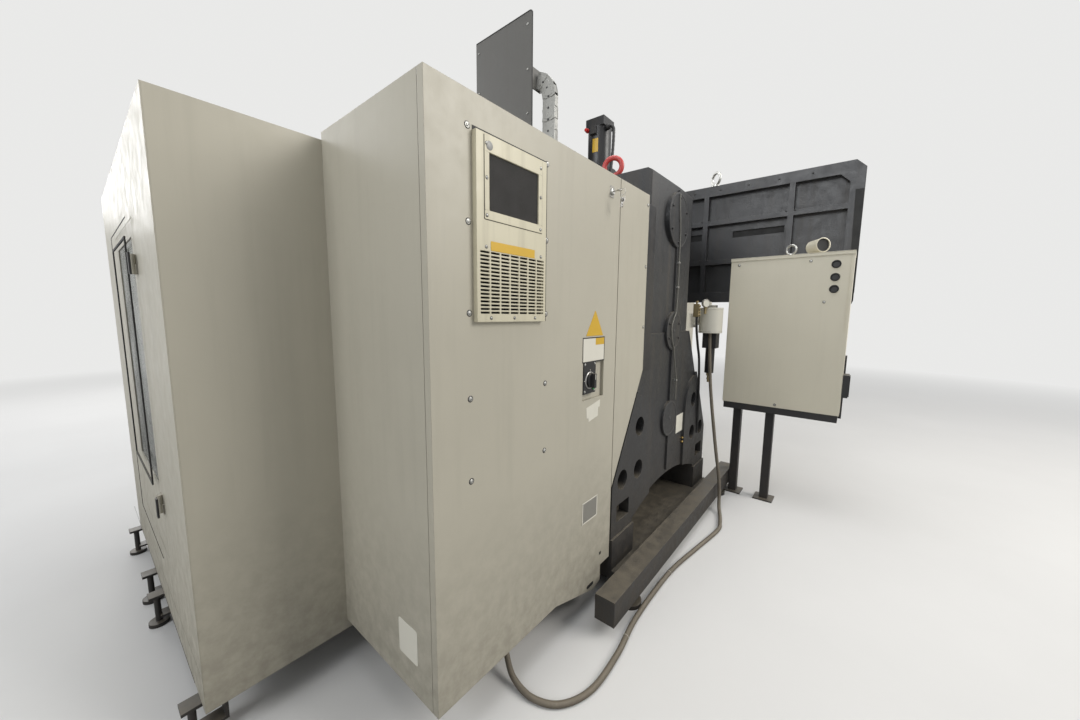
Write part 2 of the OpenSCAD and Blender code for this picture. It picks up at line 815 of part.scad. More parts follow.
module spindle_motor() {
    color([0.1, 0.1, 0.11]) translate([0, spindle_y, head_top]) {
        difference() {
            slab([-165, 165], [-165, 165], [0, 90]);
            rod_z([0, 0, -eps], 90, 92);
        }
        slab([-spindle_motor_w / 2, spindle_motor_w / 2],
            [-spindle_motor_w / 2, spindle_motor_w / 2], [90, spindle_motor_l]);
        rod_z([0, 0, spindle_motor_l], 120, 70);
        rod_z([0, 0, 80 + seat], 30, 11);
    }
}

module spindle() {
    color("silver") difference() {
        union() {
            rod_z([0, spindle_y, nose_z], spindle_r, head_top - nose_z + 80);
            rod_z([0, spindle_y, nose_z], spindle_r + 25, 19.7);
        }
        translate([0, spindle_y, nose_z - eps]) cylinder(r1 = 35.2, r2 = 20.6, h = 102);
        // Slots that clear the drive keys
        for (s = [-1, 1]) slab([s * 52 - 13, s * 52 + 13], [spindle_y - 13, spindle_y + 13],
            [nose_z - eps, nose_z + 8]);
    }
}

module tool_holder() {
    color("gainsboro") translate([0, spindle_y, nose_z]) {
        cylinder(r1 = 34.9, r2 = 20.6, h = 98);
        rod_z([0, 0, -30], 49, 30);
        rod_z([0, 0, -85], 32, 55);
        rod_z([0, 0, -120], 20, 35);
    }
}

// A flat cable carrier that rises from a bracket on the column and enters the head's cover
module head_conduit() {
    x = [carrier_x, carrier_x + carrier_w];
    y1 = column_y - cover_back + seat;
    color([0.75, 0.76, 0.76], 0.8) {
        slab(x, [column_y, column_y + 12], [column_top, carrier_foot]);
        slab(x, [carrier_y - carrier_t / 2, column_y + 12], [carrier_foot, carrier_foot + 12]);
        slab(x, [carrier_y - carrier_t / 2, carrier_y + carrier_t / 2],
            [carrier_foot + 12, carrier_bend]);
        translate([x[0], carrier_y - carrier_r, carrier_bend]) rotate([90, 0, 90])
            intersection() {
                difference() {
                    cylinder(r = carrier_r + carrier_t / 2, h = carrier_w);
                    translate([0, 0, -eps])
                        cylinder(r = carrier_r - carrier_t / 2, h = carrier_w + 2 * eps);
                }
                translate([y1 - carrier_y + carrier_r, 0, -eps])
                    cube([300, 300, carrier_w + 2 * eps]);
            }
    }
}

// Enclosure

module side_panel(z_open) {
    difference() {
        slab([inner_w, half_w], [front_y, wall_y], [enclosure_bottom, enclosure_top]);
        slab([half_w - 1.5, half_w + eps], [front_y - eps, wall_y + eps],
            [skirt_z - 2, skirt_z + 2]);
        if (z_open) slab([inner_w - eps, half_w + eps], [sd_y0, sd_y1], [side_door_z, sd_z1]);
    }
    for (z = [enclosure_bottom, enclosure_top - sheet_t])
        slab([inner_w - fold_d, inner_w],
            [front_y + sheet_t + fold_d, wall_y - sheet_t - fold_d], [z, z + sheet_t]);
    // Folded edges round the side door's opening
    if (z_open) for (y = [sd_y0 - sheet_t, sd_y1])
        slab([inner_w - fold_d, inner_w], [y, y + sheet_t], [side_door_z, sd_z1]);
}

module fixed_knuckle(z) {
    rod_z([half_w + knuckle_r, sd_y1, z], knuckle_r, hinge_h / 2);
    slab([half_w, half_w + 4], [sd_y1, sd_y1 + 28], [z, z + hinge_h / 2]);
}

module enclosure_right() {
    color("gainsboro") {
        side_panel(true);
        for (z = hinge_zs) fixed_knuckle(z);
    }
}

module enclosure_left() {
    color("gainsboro") mirror([1, 0, 0]) side_panel(false);
}

// Half of the rear wall, cut back round the column
module rear_outline() {
    g = column_gap;
    polygon([[inner_w, enclosure_bottom], [inner_w, enclosure_top],
        [shaft_half + g, enclosure_top], [shaft_half + g, flare_top + g],
        [foot_half + g, foot_top + g], [foot_half + g, enclosure_bottom]]);
}

module rear_folds() {
    y0 = wall_y - sheet_t - fold_d;
    y1 = wall_y - sheet_t;
    slab([shaft_half + column_gap, inner_w - fold_d], [y0, y1],
        [enclosure_top - sheet_t, enclosure_top]);
    slab([foot_half + column_gap, inner_w - fold_d], [y0, y1],
        [enclosure_bottom, enclosure_bottom + sheet_t]);
    slab([inner_w - sheet_t, inner_w], [y0, y1], [enclosure_bottom, enclosure_top]);
}

module enclosure_rear() {
    color("gainsboro") {
        xz(wall_y - sheet_t, wall_y) rear_outline();
        rear_folds();
        // The left half has a notch that the tool magazine passes through
        difference() {
            mirror([1, 0, 0]) {
                xz(wall_y - sheet_t, wall_y) rear_outline();
                rear_folds();
            }
            slab([-pot_x - pot_l - 40, -mag_x + 40], [wall_y - 100, wall_y + eps],
                [mag_base - 40, enclosure_top + eps]);
        }
    }
}

module enclosure_front() {
    y1 = front_y + sheet_t;
    color("gainsboro") {
        difference() {
            slab([-inner_w, inner_w], [front_y, y1], [enclosure_bottom, enclosure_top]);
            slab([-opening_half, opening_half], [front_y - eps, y1 + eps], [sill_z, header_z]);
        }
        both() slab([inner_w - sheet_t, inner_w], [y1, y1 + fold_d],
            [enclosure_bottom, enclosure_top]);
        for (z = [enclosure_bottom, enclosure_top - sheet_t])
            slab([-inner_w + sheet_t, inner_w - sheet_t], [y1, y1 + fold_d], [z, z + sheet_t]);
        // Runners that the doors hang from and stand on
        for (z = [sill_z - 25, header_z + 20])
            slab([-2 * opening_half - 60, 2 * opening_half + 60], [y1, door_back + 8],
                [z, z + 5]);
    }
}

module front_door() {
    z = [sill_z - 20 + seat, header_z + 20 - seat];
    x = [1, opening_half + door_lap];
    color("gainsboro") {
        difference() {
            pan_y(x, [door_y, door_back], z, sheet_t, -1);
            slab([x[0] + stile_w, x[1] - stile_w], [door_y - eps, door_back],
                [z[0] + stile_w + 60, z[1] - stile_w]);
        }
        // Pull bar
        rod_z([70, door_y - 45, 1150], 13, 460);
        for (zz = [1190, 1560]) rod_y([70, door_y - 45, zz], 9, 45);
    }
}

module front_window() {
    z = [sill_z - 20 + seat, header_z + 20 - seat];
    x = [1, opening_half + door_lap];
    color([0.6, 0.7, 0.75, 0.4])
        slab([x[0] + stile_w - 25, x[1] - stile_w + 25],
            [door_y + sheet_t, door_y + sheet_t + glass_t],
            [z[0] + stile_w + 35, z[1] - stile_w + 25]);
}

module front_door_left() { mirror([1, 0, 0]) front_door(); }
module front_door_right() { front_door(); }
module front_window_left() { mirror([1, 0, 0]) front_window(); }
module front_window_right() { front_window(); }

module side_door() {
    y = [sd_y0 + side_gap, sd_y1 - side_gap];
    z = [side_door_z + side_gap, sd_z1 - side_gap];
    color("gainsboro") {
        difference() {
            slab([half_w - side_door_d, half_w], y, z);
            slab([half_w - side_door_d - eps, half_w - sheet_t],
                [y[0] + sheet_t, y[1] - sheet_t], [z[0] + sheet_t, z[1] - sheet_t]);
            slab([half_w - side_door_d - eps, half_w + eps], [y[0] + 55, y[1] - 65],
                [z[0] + 300, z[1] - 60]);
        }
        for (h = hinge_zs) {
            rod_z([half_w + knuckle_r, sd_y1, h + hinge_h / 2 + seat], knuckle_r, hinge_h / 2);
            slab([half_w, half_w + 4], [sd_y1 - 32, sd_y1],
                [h + hinge_h / 2 + seat, h + hinge_h + seat]);
        }
    }
}

module side_window() {
    y = [sd_y0 + side_gap, sd_y1 - side_gap];
    z = [side_door_z + side_gap, sd_z1 - side_gap];
    color([0.5, 0.55, 0.6, 0.5])
        slab([half_w - sheet_t - glass_t, half_w - sheet_t], [y[0] + 35, y[1] - 45],
            [z[0] + 280, z[1] - 40]);
}

module chip_pan() {
    z0 = enclosure_bottom + sheet_t;
    x0 = bed_front_half + lug_w + 30;
    color("silver") both() difference() {
        slab([x0, inner_w - 2 * sheet_t],
            [front_y + 2 * sheet_t, wall_y - 2 * sheet_t], [z0, z0 + 120]);
        slab([x0 + sheet_t, inner_w - 3 * sheet_t],
            [front_y + 3 * sheet_t, wall_y - 3 * sheet_t], [z0 + sheet_t, z0 + 121]);
    }
}

// Pendant

module pendant_arm() {
    color("dimgray") {
        for (z = [pendant_z0 - 42, pendant_z0 + pendant_h + seat]) {
            slab([hinge_x - 25, hinge_x + 25], [hinge_y, front_y - 12], [z, z + 42 - seat]);
            rod_z([hinge_x, hinge_y, z], 25, 42 - seat);
        }
        slab([hinge_x - 45, hinge_x + 45], [front_y - 12, front_y],
            [pendant_z0 - 80, pendant_z0 + pendant_h + 80]);
    }
}

module pendant_box() {
    x1 = hinge_x - 30;
    color([0.35, 0.36, 0.38]) difference() {
        union() {
            slab([pendant_x0, x1], [pendant_face, pendant_back],
                [pendant_z0, pendant_z0 + pendant_h]);
            rod_z([hinge_x, hinge_y, pendant_z0], 18, pendant_h);
            slab([x1 - eps, hinge_x], [hinge_y - 10, hinge_y + 10],
                [pendant_z0 + 20, pendant_z0 + pendant_h - 20]);
        }
        // Hollow body
        slab([pendant_x0 + 4, x1 - 4], [pendant_face + 16, pendant_back - 4],
            [pendant_z0 + 4, pendant_z0 + pendant_h - 4]);
        // Screen recess
        slab([pendant_x0 + 60, pendant_x0 + 440], [pendant_face - eps, pendant_face + 4],
            [pendant_z0 + 420, pendant_z0 + 700]);
        // Wells of the buttons, knob and wheel
        for (b = button_wells()) rod_y([b[0], pendant_face - eps, b[1]], b[2], 13);
    }
}

// Place and radius of each well
function button_wells() = [[pendant_x0 + 60, button_z, estop_r - 4 + seat],
    [pendant_x0 + 130, button_z, 11 + seat], [pendant_x0 + 200, button_z, 8 + seat],
    [pendant_x0 + 360, button_z - 60, 10 + seat]];

module pendant_cap(i, head_r, proud, stem) {
    b = button_wells()[i];
    rod_y([b[0], pendant_face - proud, b[1]], b[2] - seat, proud + stem);
    rod_y([b[0], pendant_face - proud, b[1]], head_r, min(proud - 5, 14));
}

module estop_button() { color("red") pendant_cap(0, estop_r, 24, 6); }
module start_button() { color("green") pendant_cap(1, 11, 6, 6); }

module feed_knob() {
    b = button_wells()[2];
    color([0.1, 0.1, 0.1]) {
        pendant_cap(2, 19, 20, 11);
        slab([b[0] - 3, b[0] + 3], [pendant_face - 26, pendant_face - 20], [b[1] - 17, b[1] + 17]);
    }
}

module handwheel() {
    b = button_wells()[3];
    color([0.1, 0.1, 0.1]) {
        pendant_cap(3, wheel_r, 20, 11);
        rod_y([b[0], pendant_face - 35, b[1] + wheel_r - 12], 7, 16);
    }
}

// Electrical cabinet

// Outline of the cabinet, moved in by g
module cabinet_outline(g) {
    polygon([[cabinet_x0 + g, cabinet_z1 - g], [cabinet_x1 - g, cabinet_z1 - g],
        [cabinet_x1 - g, cabinet_z0 + g], [seam_x + 6 + g, cabinet_z0 + g],
        [seam_x + 6 + g, slant_z0 + g], [cabinet_x0 + 31 + g, slant_z1 + g],
        [cabinet_x0 + g, slant_z1 + 56 + g]]);
}

module cabinet_shell() {
    color("gainsboro") {
        difference() {
            xz(wall_y, shell_face) cabinet_outline(0);
            xz(wall_y + sheet_t, shell_face + eps) cabinet_outline(sheet_t);
            // Supply and cable entries in the floor
            rod_z([1300, wall_y + 420, cabinet_z0 - eps], 25, 10);
            rod_z([1510, 756, cabinet_z0 - eps], cable_r + 1, 10);
        }
        // Slanted cable skirt below the door
        xz(face_y - sheet_t, face_y)
            polygon([[skirt_x[0], cabinet_z0 - seat], [skirt_x[2], cabinet_z0 - seat],
                [skirt_x[1], 95], [skirt_x[0], 112]]);
        slab([skirt_x[0], skirt_x[2]], [shell_face - 60, face_y - sheet_t],
            [cabinet_z0 - sheet_t - seat, cabinet_z0 - seat]);
        slab([skirt_x[0], skirt_x[2]], [shell_face - 60, shell_face - 20],
            [cabinet_z0 - seat, cabinet_z0]);
    }
}

module cabinet_door() {
    x = [seam_x + 6, cabinet_x1];
    z = [cabinet_z0, cabinet_z1];
    iso = isolator_w / 2;
    color("gainsboro") {
        difference() {
            pan_y(x, [door_in, door_face], z, sheet_t, 1);
            // Cut-out for the cooling unit
            slab([cool_x0 + 12, cool_x1 - 12], [door_in - eps, door_face + eps],
                [cool_z + 12, cool_z + cool_h - 12]);
            slab([isolator_x - iso, isolator_x + iso], [door_face - sheet_t - eps, door_face + eps],
                [isolator_z - iso, isolator_z + iso]);
            slab([910, 930], [door_face - sheet_t - eps, door_face + eps], [257, 275]);
        }
        // Pressed recess for the isolator
        difference() {
            slab([isolator_x - iso - 2, isolator_x + iso + 2], [door_face - 18, door_face],
                [isolator_z - iso - 2, isolator_z + iso + 2]);
            slab([isolator_x - iso, isolator_x + iso], [door_face - 15, door_face + eps],
                [isolator_z - iso, isolator_z + iso]);
        }
    }
}

module cabinet_side_cover() {
    g = 3;
    color("gainsboro") xz(shell_face, face_y)
        polygon([[cabinet_x0, cabinet_z1], [seam_x, cabinet_z1], [seam_x, slant_z0 + 11],
            [cabinet_x0 + 31, slant_z1], [cabinet_x0, slant_z1 + 56]]);
}

module cooling_unit() {
    x = [cool_x0, cool_x1];
    z = [cool_z, cool_z + cool_h];
    col = (cool_w - 20) / grille_cols;
    color("cornsilk") difference() {
        union() {
            slab(x, [face_y, face_y + cool_proud], z);
            slab([x[0] + 15, x[1] - 15], [face_y - cool_depth, face_y + eps],
                [z[0] + 15, z[1] - 15]);
        }
        slab([x[0] + 18, x[1] - 18], [face_y - cool_depth + 3, face_y + cool_proud - 5],
            [z[0] + 18, z[1] - 18]);
        // Filter window in the service cover
        slab([x[0] + 48, x[1] - 53], [face_y + cool_proud - 6, face_y + cool_proud + eps],
            [z[1] - 229, z[1] - 54]);
        // Grille
        for (i = [0 : grille_cols - 1], j = [0 : grille_rows - 1])
            slab([x[0] + 13 + i * col, x[0] + 13 + i * col + col - 7],
                [face_y + cool_proud - 6, face_y + cool_proud + eps],
                [z[0] + 27 + j * 12, z[0] + 27 + j * 12 + 6.5]);
    }
}

module door_fasteners() {
    color("silver") {
        for (x = [cool_x1 + 18, cool_x0 - 26], zz = [2080, 1801, 1520, 1243, 963])
            rod_y([x, face_y, zz], 8, 5);
        difference() {
            rod_y([lock_x, face_y, lock_z], 16, 8);
            rod_y([lock_x, face_y + 2, lock_z], 10 + seat, 8);
        }
    }
}

module lock_key() {
    color("silver") {
        rod_y([lock_x, face_y + 2 + seat, lock_z], 10, 6);
        slab([lock_x - 4, lock_x + 4], [face_y + 8, face_y + 31],
            [lock_z - 1.2, lock_z + 1.2]);
        difference() {
            rod_z([lock_x, face_y + 40, lock_z - 1.2], 12, 2.4);
            rod_z([lock_x, face_y + 45, lock_z - 2], 3, 4);
        }
    }
}

module isolator_base() {
    iso = isolator_w / 2;
    color([0.07, 0.07, 0.07]) difference() {
        slab([isolator_x - 12, isolator_x + iso - 2], [door_face - 15, door_face + 4],
            [isolator_z - 62, isolator_z + iso - 4]);
        rod_y([isolator_x + 36, door_face - 10, isolator_z], 10 + seat, 20);
    }
}

module isolator_handle() {
    c = [isolator_x + 36, door_face + 4 + seat, isolator_z];
    color([0.12, 0.12, 0.12]) {
        rod_y(c - [0, 10, 0], 10, 11);
        rod_y(c, isolator_r, 12);
        slab([c[0] - 9, c[0] + 9], [c[1] + 12, c[1] + 30], [c[2] - 33, c[2] + 33]);
    }
}

module equipment_plate() {
    y0 = wall_y + sheet_t;
    color("lightsteelblue") {
        slab([860, 1900], [y0, y0 + 4], [260, 2120]);
        // Drives, breakers and contactors in rows
        for (i = [0 : 6]) slab([900 + i * 130, 1000 + i * 130], [y0 + 4, y0 + 214], [1560, 1940]);
        for (i = [0 : 9]) slab([890 + i * 95, 970 + i * 95], [y0 + 4, y0 + 94], [1180, 1290]);
        for (i = [0 : 15]) slab([885 + i * 62, 930 + i * 62], [y0 + 4, y0 + 74], [900, 985]);
        // Wiring ducts
        for (z = [1440, 1060, 780]) slab([880, 1880], [y0 + 4, y0 + 64], [z, z + 60]);
        // Transformer
        slab([1500, 1780], [y0 + 4, y0 + 254], [300, 560]);
    }
}

module cable_duct() {
    color([0.1, 0.1, 0.1]) {
        slab([shaft_half + 30, cabinet_x0], [face_y - 160, face_y], [flare_top + 5, 2137]);
        slab([shaft_half + 30, cabinet_x0], [face_y - 18, face_y], [1190, flare_top + 5]);
    }
}

// Tool magazine

// Side view of the magazine frame, moved in by g; its underside is raised over the tool arm
module mag_outline(g) {
    c = 60;
    polygon([[mag_front_y + g, mag_raised + g], [mag_step_y + g * 0.6, mag_raised + g],
        [mag_step_y + 160 + g * 0.6, mag_base + g], [back_y - c - g, mag_base + g],
        [back_y - g, mag_base + c + g], [back_y - g, mag_top - c - g],
        [back_y - c - g, mag_top - g], [mag_front_y + g, mag_top - g]]);
}

module magazine_frame() {
    rib = 40;
    flange = 87;
    v = [back_y - 445, back_y - 1092, back_y - 1740, back_y - 2390];
    h = [2314, 1972];
    color([0.24, 0.25, 0.26]) difference() {
        union() {
            yz(-web_out, -web_x) mag_outline(0);
            // Outer flange and ribs on the inner side
            yz(-web_x - eps, -mag_x) union() {
                difference() {
                    mag_outline(0);
                    mag_outline(flange);
                }
                intersection() {
                    mag_outline(eps);
                    union() {
                        for (y = v) translate([y - rib / 2, mag_base]) square([rib, 1200]);
                        for (z = h) translate([mag_front_y, z]) square([3000, rib]);
                    }
                }
            }
            // Arms that reach to the column
            for (z = [1760, 2180]) slab([-mag_x - eps, -shaft_half], [wall_y + 150, wall_y + 320],
                [z, z + 180]);
            // Guides that carry the chain's rollers
            rod_x([-roller_x - 18, spindle_y + run_l, chain_mid],
                pitch_r - roller_r - seat, 24 + eps);
            for (z = [chain_z, chain_z + 2 * pitch_r])
                slab([-roller_x - 18, -web_out + eps],
                    [spindle_y + 118, spindle_y + run_l],
                    [z - roller_r - seat - 20, z - roller_r - seat]);
            // Stub shaft of the chain's sprocket
            rod_x([-web_out - 30, spindle_y, chain_mid], 40, 31);
        }
        // Slots between the ribs
        for (i = [0, 1]) slab([-web_out - eps, -mag_x + eps],
            [v[i + 1] + rib + 180, v[i] - rib], [h[0] - 114, h[0] - 60]);
    }
}

// A tool pot with its roller, chain link and rear wall, mouth towards -X
module pot() {
    color([0.16, 0.16, 0.17]) difference() {
        rotate([0, -90, 0]) cylinder(r = pot_r, h = pot_l);
        translate([-20, 0, 0]) rotate([0, -90, 0]) cylinder(r1 = 21, r2 = 36, h = pot_l - 20 + eps);
    }
}

module link_unit() {
    color([0.3, 0.3, 0.3]) {
        rod_x([-link_x, 0, 0], roller_r, 22);
        slab([-pot_x, -link_x], [-45, 45], [-24, 24]);
        // Tongues that meet the next link
        slab([-pot_x, -link_x], [-pot_pitch / 2 + seat / 2, pot_pitch / 2 - seat / 2], [-5, 5]);
    }
}

module pot_unit() {
    link_unit();
    translate([-pot_x, 0, 0]) pot();
}

module on_lower(k) { translate([0, spindle_y + k * pot_pitch, chain_z]) children(); }

module on_upper(k) {
    translate([0, spindle_y + run_l - k * pot_pitch, chain_z + 2 * pitch_r]) children();
}

// A place on a bend, a pitches after it starts, round the axis at y
module on_bend(y, a, rear) {
    translate([0, y, chain_mid])
        rotate([(rear ? 0 : 180) + a * 360 / sprocket_n, 0, 0]) translate([0, 0, -pitch_r])
            children();
}

module chain_lower_run() {
    for (k = [1 : run_n - 1]) on_lower(k) pot_unit();
    // The link that carries the swinging pot between two cheeks
    on_lower(0) {
        link_unit();
        color([0.3, 0.3, 0.3]) {
            slab([-pot_x, -link_x], [-34, 34], [-pot_r - 12, 0]);
            for (s = [-1, 1]) slab([-pot_hinge_x - 5, -pot_x],
                s > 0 ? [24 + seat, 34] : [-34, -24 - seat], [-pot_r - 12, -pot_r + 3]);
        }
    }
}

module chain_upper_run() { for (k = [0 : run_n - 1]) on_upper(k) pot_unit(); }

module chain_rear_bend() {
    for (a = [1 : bend_n]) on_bend(spindle_y + run_l, a, true) pot_unit();
}

module chain_front_bend() {
    for (a = [1 : bend_n]) on_bend(spindle_y, a, false) pot_unit();
}

module chain_sprocket() {
    color("gray") translate([-roller_x - 18, spindle_y, chain_mid]) rotate([0, 90, 0])
        difference() {
            cylinder(r = pitch_r - 14, h = 14, $fn = 120);
            translate([0, 0, -eps]) cylinder(r = 40.06, h = 16);
            for (i = [0 : sprocket_n - 1]) rotate([0, 0, i * 360 / sprocket_n])
                translate([pitch_r, 0, -eps]) cylinder(r = roller_r + seat, h = 16);
        }
}

// The pot at the change position swings down about the pin under its back end
module change_pot() {
    translate([-pot_hinge_x, spindle_y, chain_z]) pot();
    color("gray") {
        rod_y([-pot_hinge_x, spindle_y - 24, chain_z - pot_r], 5, 48);
        slab([-pot_hinge_x - 12, -pot_hinge_x], [spindle_y - 24, spindle_y + 24],
            [chain_z - pot_r, chain_z - pot_r + 14]);
    }
}

module atc_gearbox() {
    color("dimgray") difference() {
        union() {
            slab([-arm_x - 120, -arm_x + 120], [spindle_y - 170, spindle_y + 170],
                [arm_z + 150, arm_z + 460]);
            slab([-mag_x, -arm_x - 120], [spindle_y - 100, spindle_y + 100],
                [arm_z + 160, arm_z + 400]);
            rod_z([-arm_x, spindle_y, arm_z + 460], 80, 180);
        }
        rod_z([-arm_x, spindle_y, arm_z + 149], 40 + spindle_fit, 250);
    }
}

module atc_shaft() {
    color("silver") {
        rod_z([-arm_x, spindle_y, arm_z + arm_t], 40, 150 - arm_t + 240 - 5);
        rod_z([-arm_x, spindle_y, arm_z - 12], 22, arm_t + 13);
        rod_z([-arm_x, spindle_y, arm_z - 12], 44, 12 - seat);
    }
}

module atc_arm() {
    color("silver") translate([-arm_x, spindle_y, arm_z]) difference() {
        union() {
            rod_z([0, 0, 0], 75, arm_t - seat);
            slab([-arm_w / 2, arm_w / 2], [-arm_r + 30, arm_r - 30], [0, arm_t - seat]);
            for (s = [-1, 1]) rod_z([0, s * arm_r, 0], grip_r + 24, arm_t - seat);
        }
        rod_z([0, 0, -eps], 22 + spindle_fit, arm_t + 2 * eps);
        for (s = [-1, 1]) {
            rod_z([0, s * arm_r, -eps], grip_r, arm_t + 2 * eps);
            slab(s > 0 ? [-200, 0] : [0, 200], [s * arm_r - grip_r, s * arm_r + grip_r],
                [-eps, arm_t + eps]);
        }
    }
}

// Chiller and lubrication

module chiller_body() {
    color("cornsilk") difference() {
        union() {
            slab([-mag_x, -chiller_x], [chiller_y0, chiller_y1], [chiller_z0, chiller_z1 - 22]);
            slab([-mag_x, -chiller_x + 3], [chiller_y0 - 3, chiller_y1 + 3],
                [chiller_z1 - 22, chiller_z1]);
        }
        slab([-mag_x + 3, -chiller_x - 3], [chiller_y0 + 3, chiller_y1 - 3],
            [chiller_z0 + 3, chiller_z1 - 25]);
        // Three cable entries
        for (z = [1884, 1795, 1713]) rod_x([-chiller_x - 4, chiller_y1 - 98, z], 22, 8);
    }
}

module chiller_base() {
    z0 = chiller_z0 - channel_h;
    color([0.08, 0.08, 0.08]) {
        difference() {
            slab([-mag_x, -chiller_x - 6], [chiller_y0 + 8, chiller_y1 - 8], [z0, chiller_z0]);
            slab([-mag_x + 40, -chiller_x - 46], [chiller_y0 + 48, chiller_y1 - 48],
                [z0 - eps, chiller_z0 + eps]);
        }
        // Legs down to the floor, with their plates
        for (y = [chiller_y0 + 60, chiller_y0 + 300]) {
            slab([-mag_x + 90, -mag_x + 150], [y, y + 60], [10, z0]);
            slab([-mag_x + 50, -mag_x + 190], [y - 40, y + 100], [0, 10]);
        }
        slab([-mag_x + 40, -chiller_x - 46], [chiller_y0 + 60, chiller_y0 + 360],
            [z0, z0 + 25]);
        // Post and box behind the chiller
        slab([-mag_x + 40, -mag_x + 100], [chiller_y1 - 8, chiller_y1 + 11], [z0, chiller_z0]);
        slab([-mag_x + 40, -mag_x + 100], [chiller_y1, chiller_y1 + 11],
            [chiller_z0, chiller_z0 + 420]);
    }
}

module lube_unit() {
    c = [-shaft_half - 232, face_y + 66];
    color("whitesmoke") {
        rod_z([c[0], c[1], lube_z], lube_r, lube_h);
        rod_z([c[0], c[1], lube_z + lube_h], 40, 20);
    }
    color("gray") {
        slab([c[0] - 60, -shaft_half], [face_y - 70, face_y - 50], [lube_z + 40, lube_z + 150]);
        slab([c[0] - 60, c[0] + 60], [face_y - 50, c[1] - lube_r + 8], [lube_z + 60, lube_z + 130]);
    }
}

// Cable along the foot of the bed

function unit(v) = v / norm(v);
function smooth(p, i, t) =
    let (a = p[max(i - 1, 0)], b = p[i], c = p[i + 1], d = p[min(i + 2, len(p) - 1)])
    0.5 * (2 * b + (c - a) * t + (2 * a - 5 * b + 4 * c - d) * t * t
        + (3 * b - a - 3 * c + d) * t * t * t);
function route(p, n) = concat([for (i = [0 : len(p) - 2], k = [0 : n - 1]) smooth(p, i, k / n)],
    [p[len(p) - 1]]);
function above(p, z) = [for (q = p) [q[0], q[1], max(q[2], z)]];

// A round tube of m sides swept along the points
module tube(p, r, m) {
    n = len(p);
    function dir(i) = unit(p[min(i + 1, n - 1)] - p[max(i - 1, 0)]);
    function side(i) = let (d = dir(i), up = abs(d[2]) > 0.7 ? [1, 0, 0] : [0, 0, 1])
        unit(cross(up, d));
    pts = [for (i = [0 : n - 1], k = [0 : m - 1])
        let (s = side(i), u = cross(dir(i), s), a = 360 * k / m)
        p[i] + r * (cos(a) * s + sin(a) * u)];
    faces = concat([[for (k = [0 : m - 1]) m - 1 - k]],
        [for (i = [0 : n - 2], k = [0 : m - 1])
            [i * m + k, i * m + (k + 1) % m, (i + 1) * m + (k + 1) % m, (i + 1) * m + k]],
        [[for (k = [0 : m - 1]) (n - 1) * m + k]]);
    polyhedron(points = pts, faces = faces);
}

module bed_cable() {
    color([0.35, 0.3, 0.25]) tube(above(route(cable_route, 3), cable_r + 0.5), cable_r, 8);
}

bed();
levelling_feet();
column();
column_eyebolt();
axis_rails();
y_screw();
z_screw();
axis_motors();
saddle();
x_screw();
x_motor();
table();
head();
head_side_cover();
head_front_cover();
spindle_motor();
spindle();
tool_holder();
head_conduit();
enclosure_right();
enclosure_left();
enclosure_rear();
enclosure_front();
front_door_left();
front_door_right();
front_window_left();
front_window_right();
side_door();
side_window();
chip_pan();
pendant_arm();
pendant_box();
estop_button();
start_button();
feed_knob();
handwheel();
cabinet_shell();
cabinet_door();
cabinet_side_cover();
cooling_unit();
door_fasteners();
lock_key();
isolator_base();
isolator_handle();
equipment_plate();
magazine_frame();
chain_lower_run();
chain_rear_bend();
chain_upper_run();
chain_front_bend();
chain_sprocket();
change_pot();
atc_gearbox();
atc_shaft();
atc_arm();
chiller_body();
chiller_base();
lube_unit();
cable_duct();
bed_cable();
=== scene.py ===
"""A vertical machining centre seen from its rear: camera, cable, finishes, trim, floor and light."""
import json
import math

import bmesh
import bpy
from mathutils import Matrix, Vector


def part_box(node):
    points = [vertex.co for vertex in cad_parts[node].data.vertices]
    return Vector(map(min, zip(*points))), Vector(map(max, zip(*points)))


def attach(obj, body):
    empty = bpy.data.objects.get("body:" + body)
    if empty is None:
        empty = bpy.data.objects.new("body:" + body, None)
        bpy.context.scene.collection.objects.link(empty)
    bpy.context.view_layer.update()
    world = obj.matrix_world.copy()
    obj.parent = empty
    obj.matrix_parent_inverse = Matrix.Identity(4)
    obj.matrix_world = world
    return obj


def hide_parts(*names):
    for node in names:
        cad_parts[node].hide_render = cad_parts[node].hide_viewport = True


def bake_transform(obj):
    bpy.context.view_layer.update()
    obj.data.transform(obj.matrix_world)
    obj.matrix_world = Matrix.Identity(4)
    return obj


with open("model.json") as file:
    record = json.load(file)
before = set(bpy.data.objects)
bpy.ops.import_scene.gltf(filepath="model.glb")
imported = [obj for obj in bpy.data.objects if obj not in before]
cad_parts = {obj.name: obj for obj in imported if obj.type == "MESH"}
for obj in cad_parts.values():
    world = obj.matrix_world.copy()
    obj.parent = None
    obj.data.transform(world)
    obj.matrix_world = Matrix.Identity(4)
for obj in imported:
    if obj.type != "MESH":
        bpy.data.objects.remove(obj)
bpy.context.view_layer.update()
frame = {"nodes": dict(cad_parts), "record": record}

# Lengths below are in millimetres unless a comment says otherwise
MM = 0.001
X, Y, Z = (1, 0, 0), (0, 1, 0), (0, 0, 1)
SHARP_ANGLE = math.radians(34)

# Bodies that many pieces ride on
ROOT = "machine_frame"
DOOR_SET = "cabinet_door_set"
HEAD_SET = "head_set"
PENDANT_SET = "pendant_set"


# Places read from the frame

def corners(name):
    """Lowest and highest corner of a CAD node."""
    low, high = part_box(name)
    return Vector(low) / MM, Vector(high) / MM


def middle_of(box):
    return (box[0] + box[1]) / 2


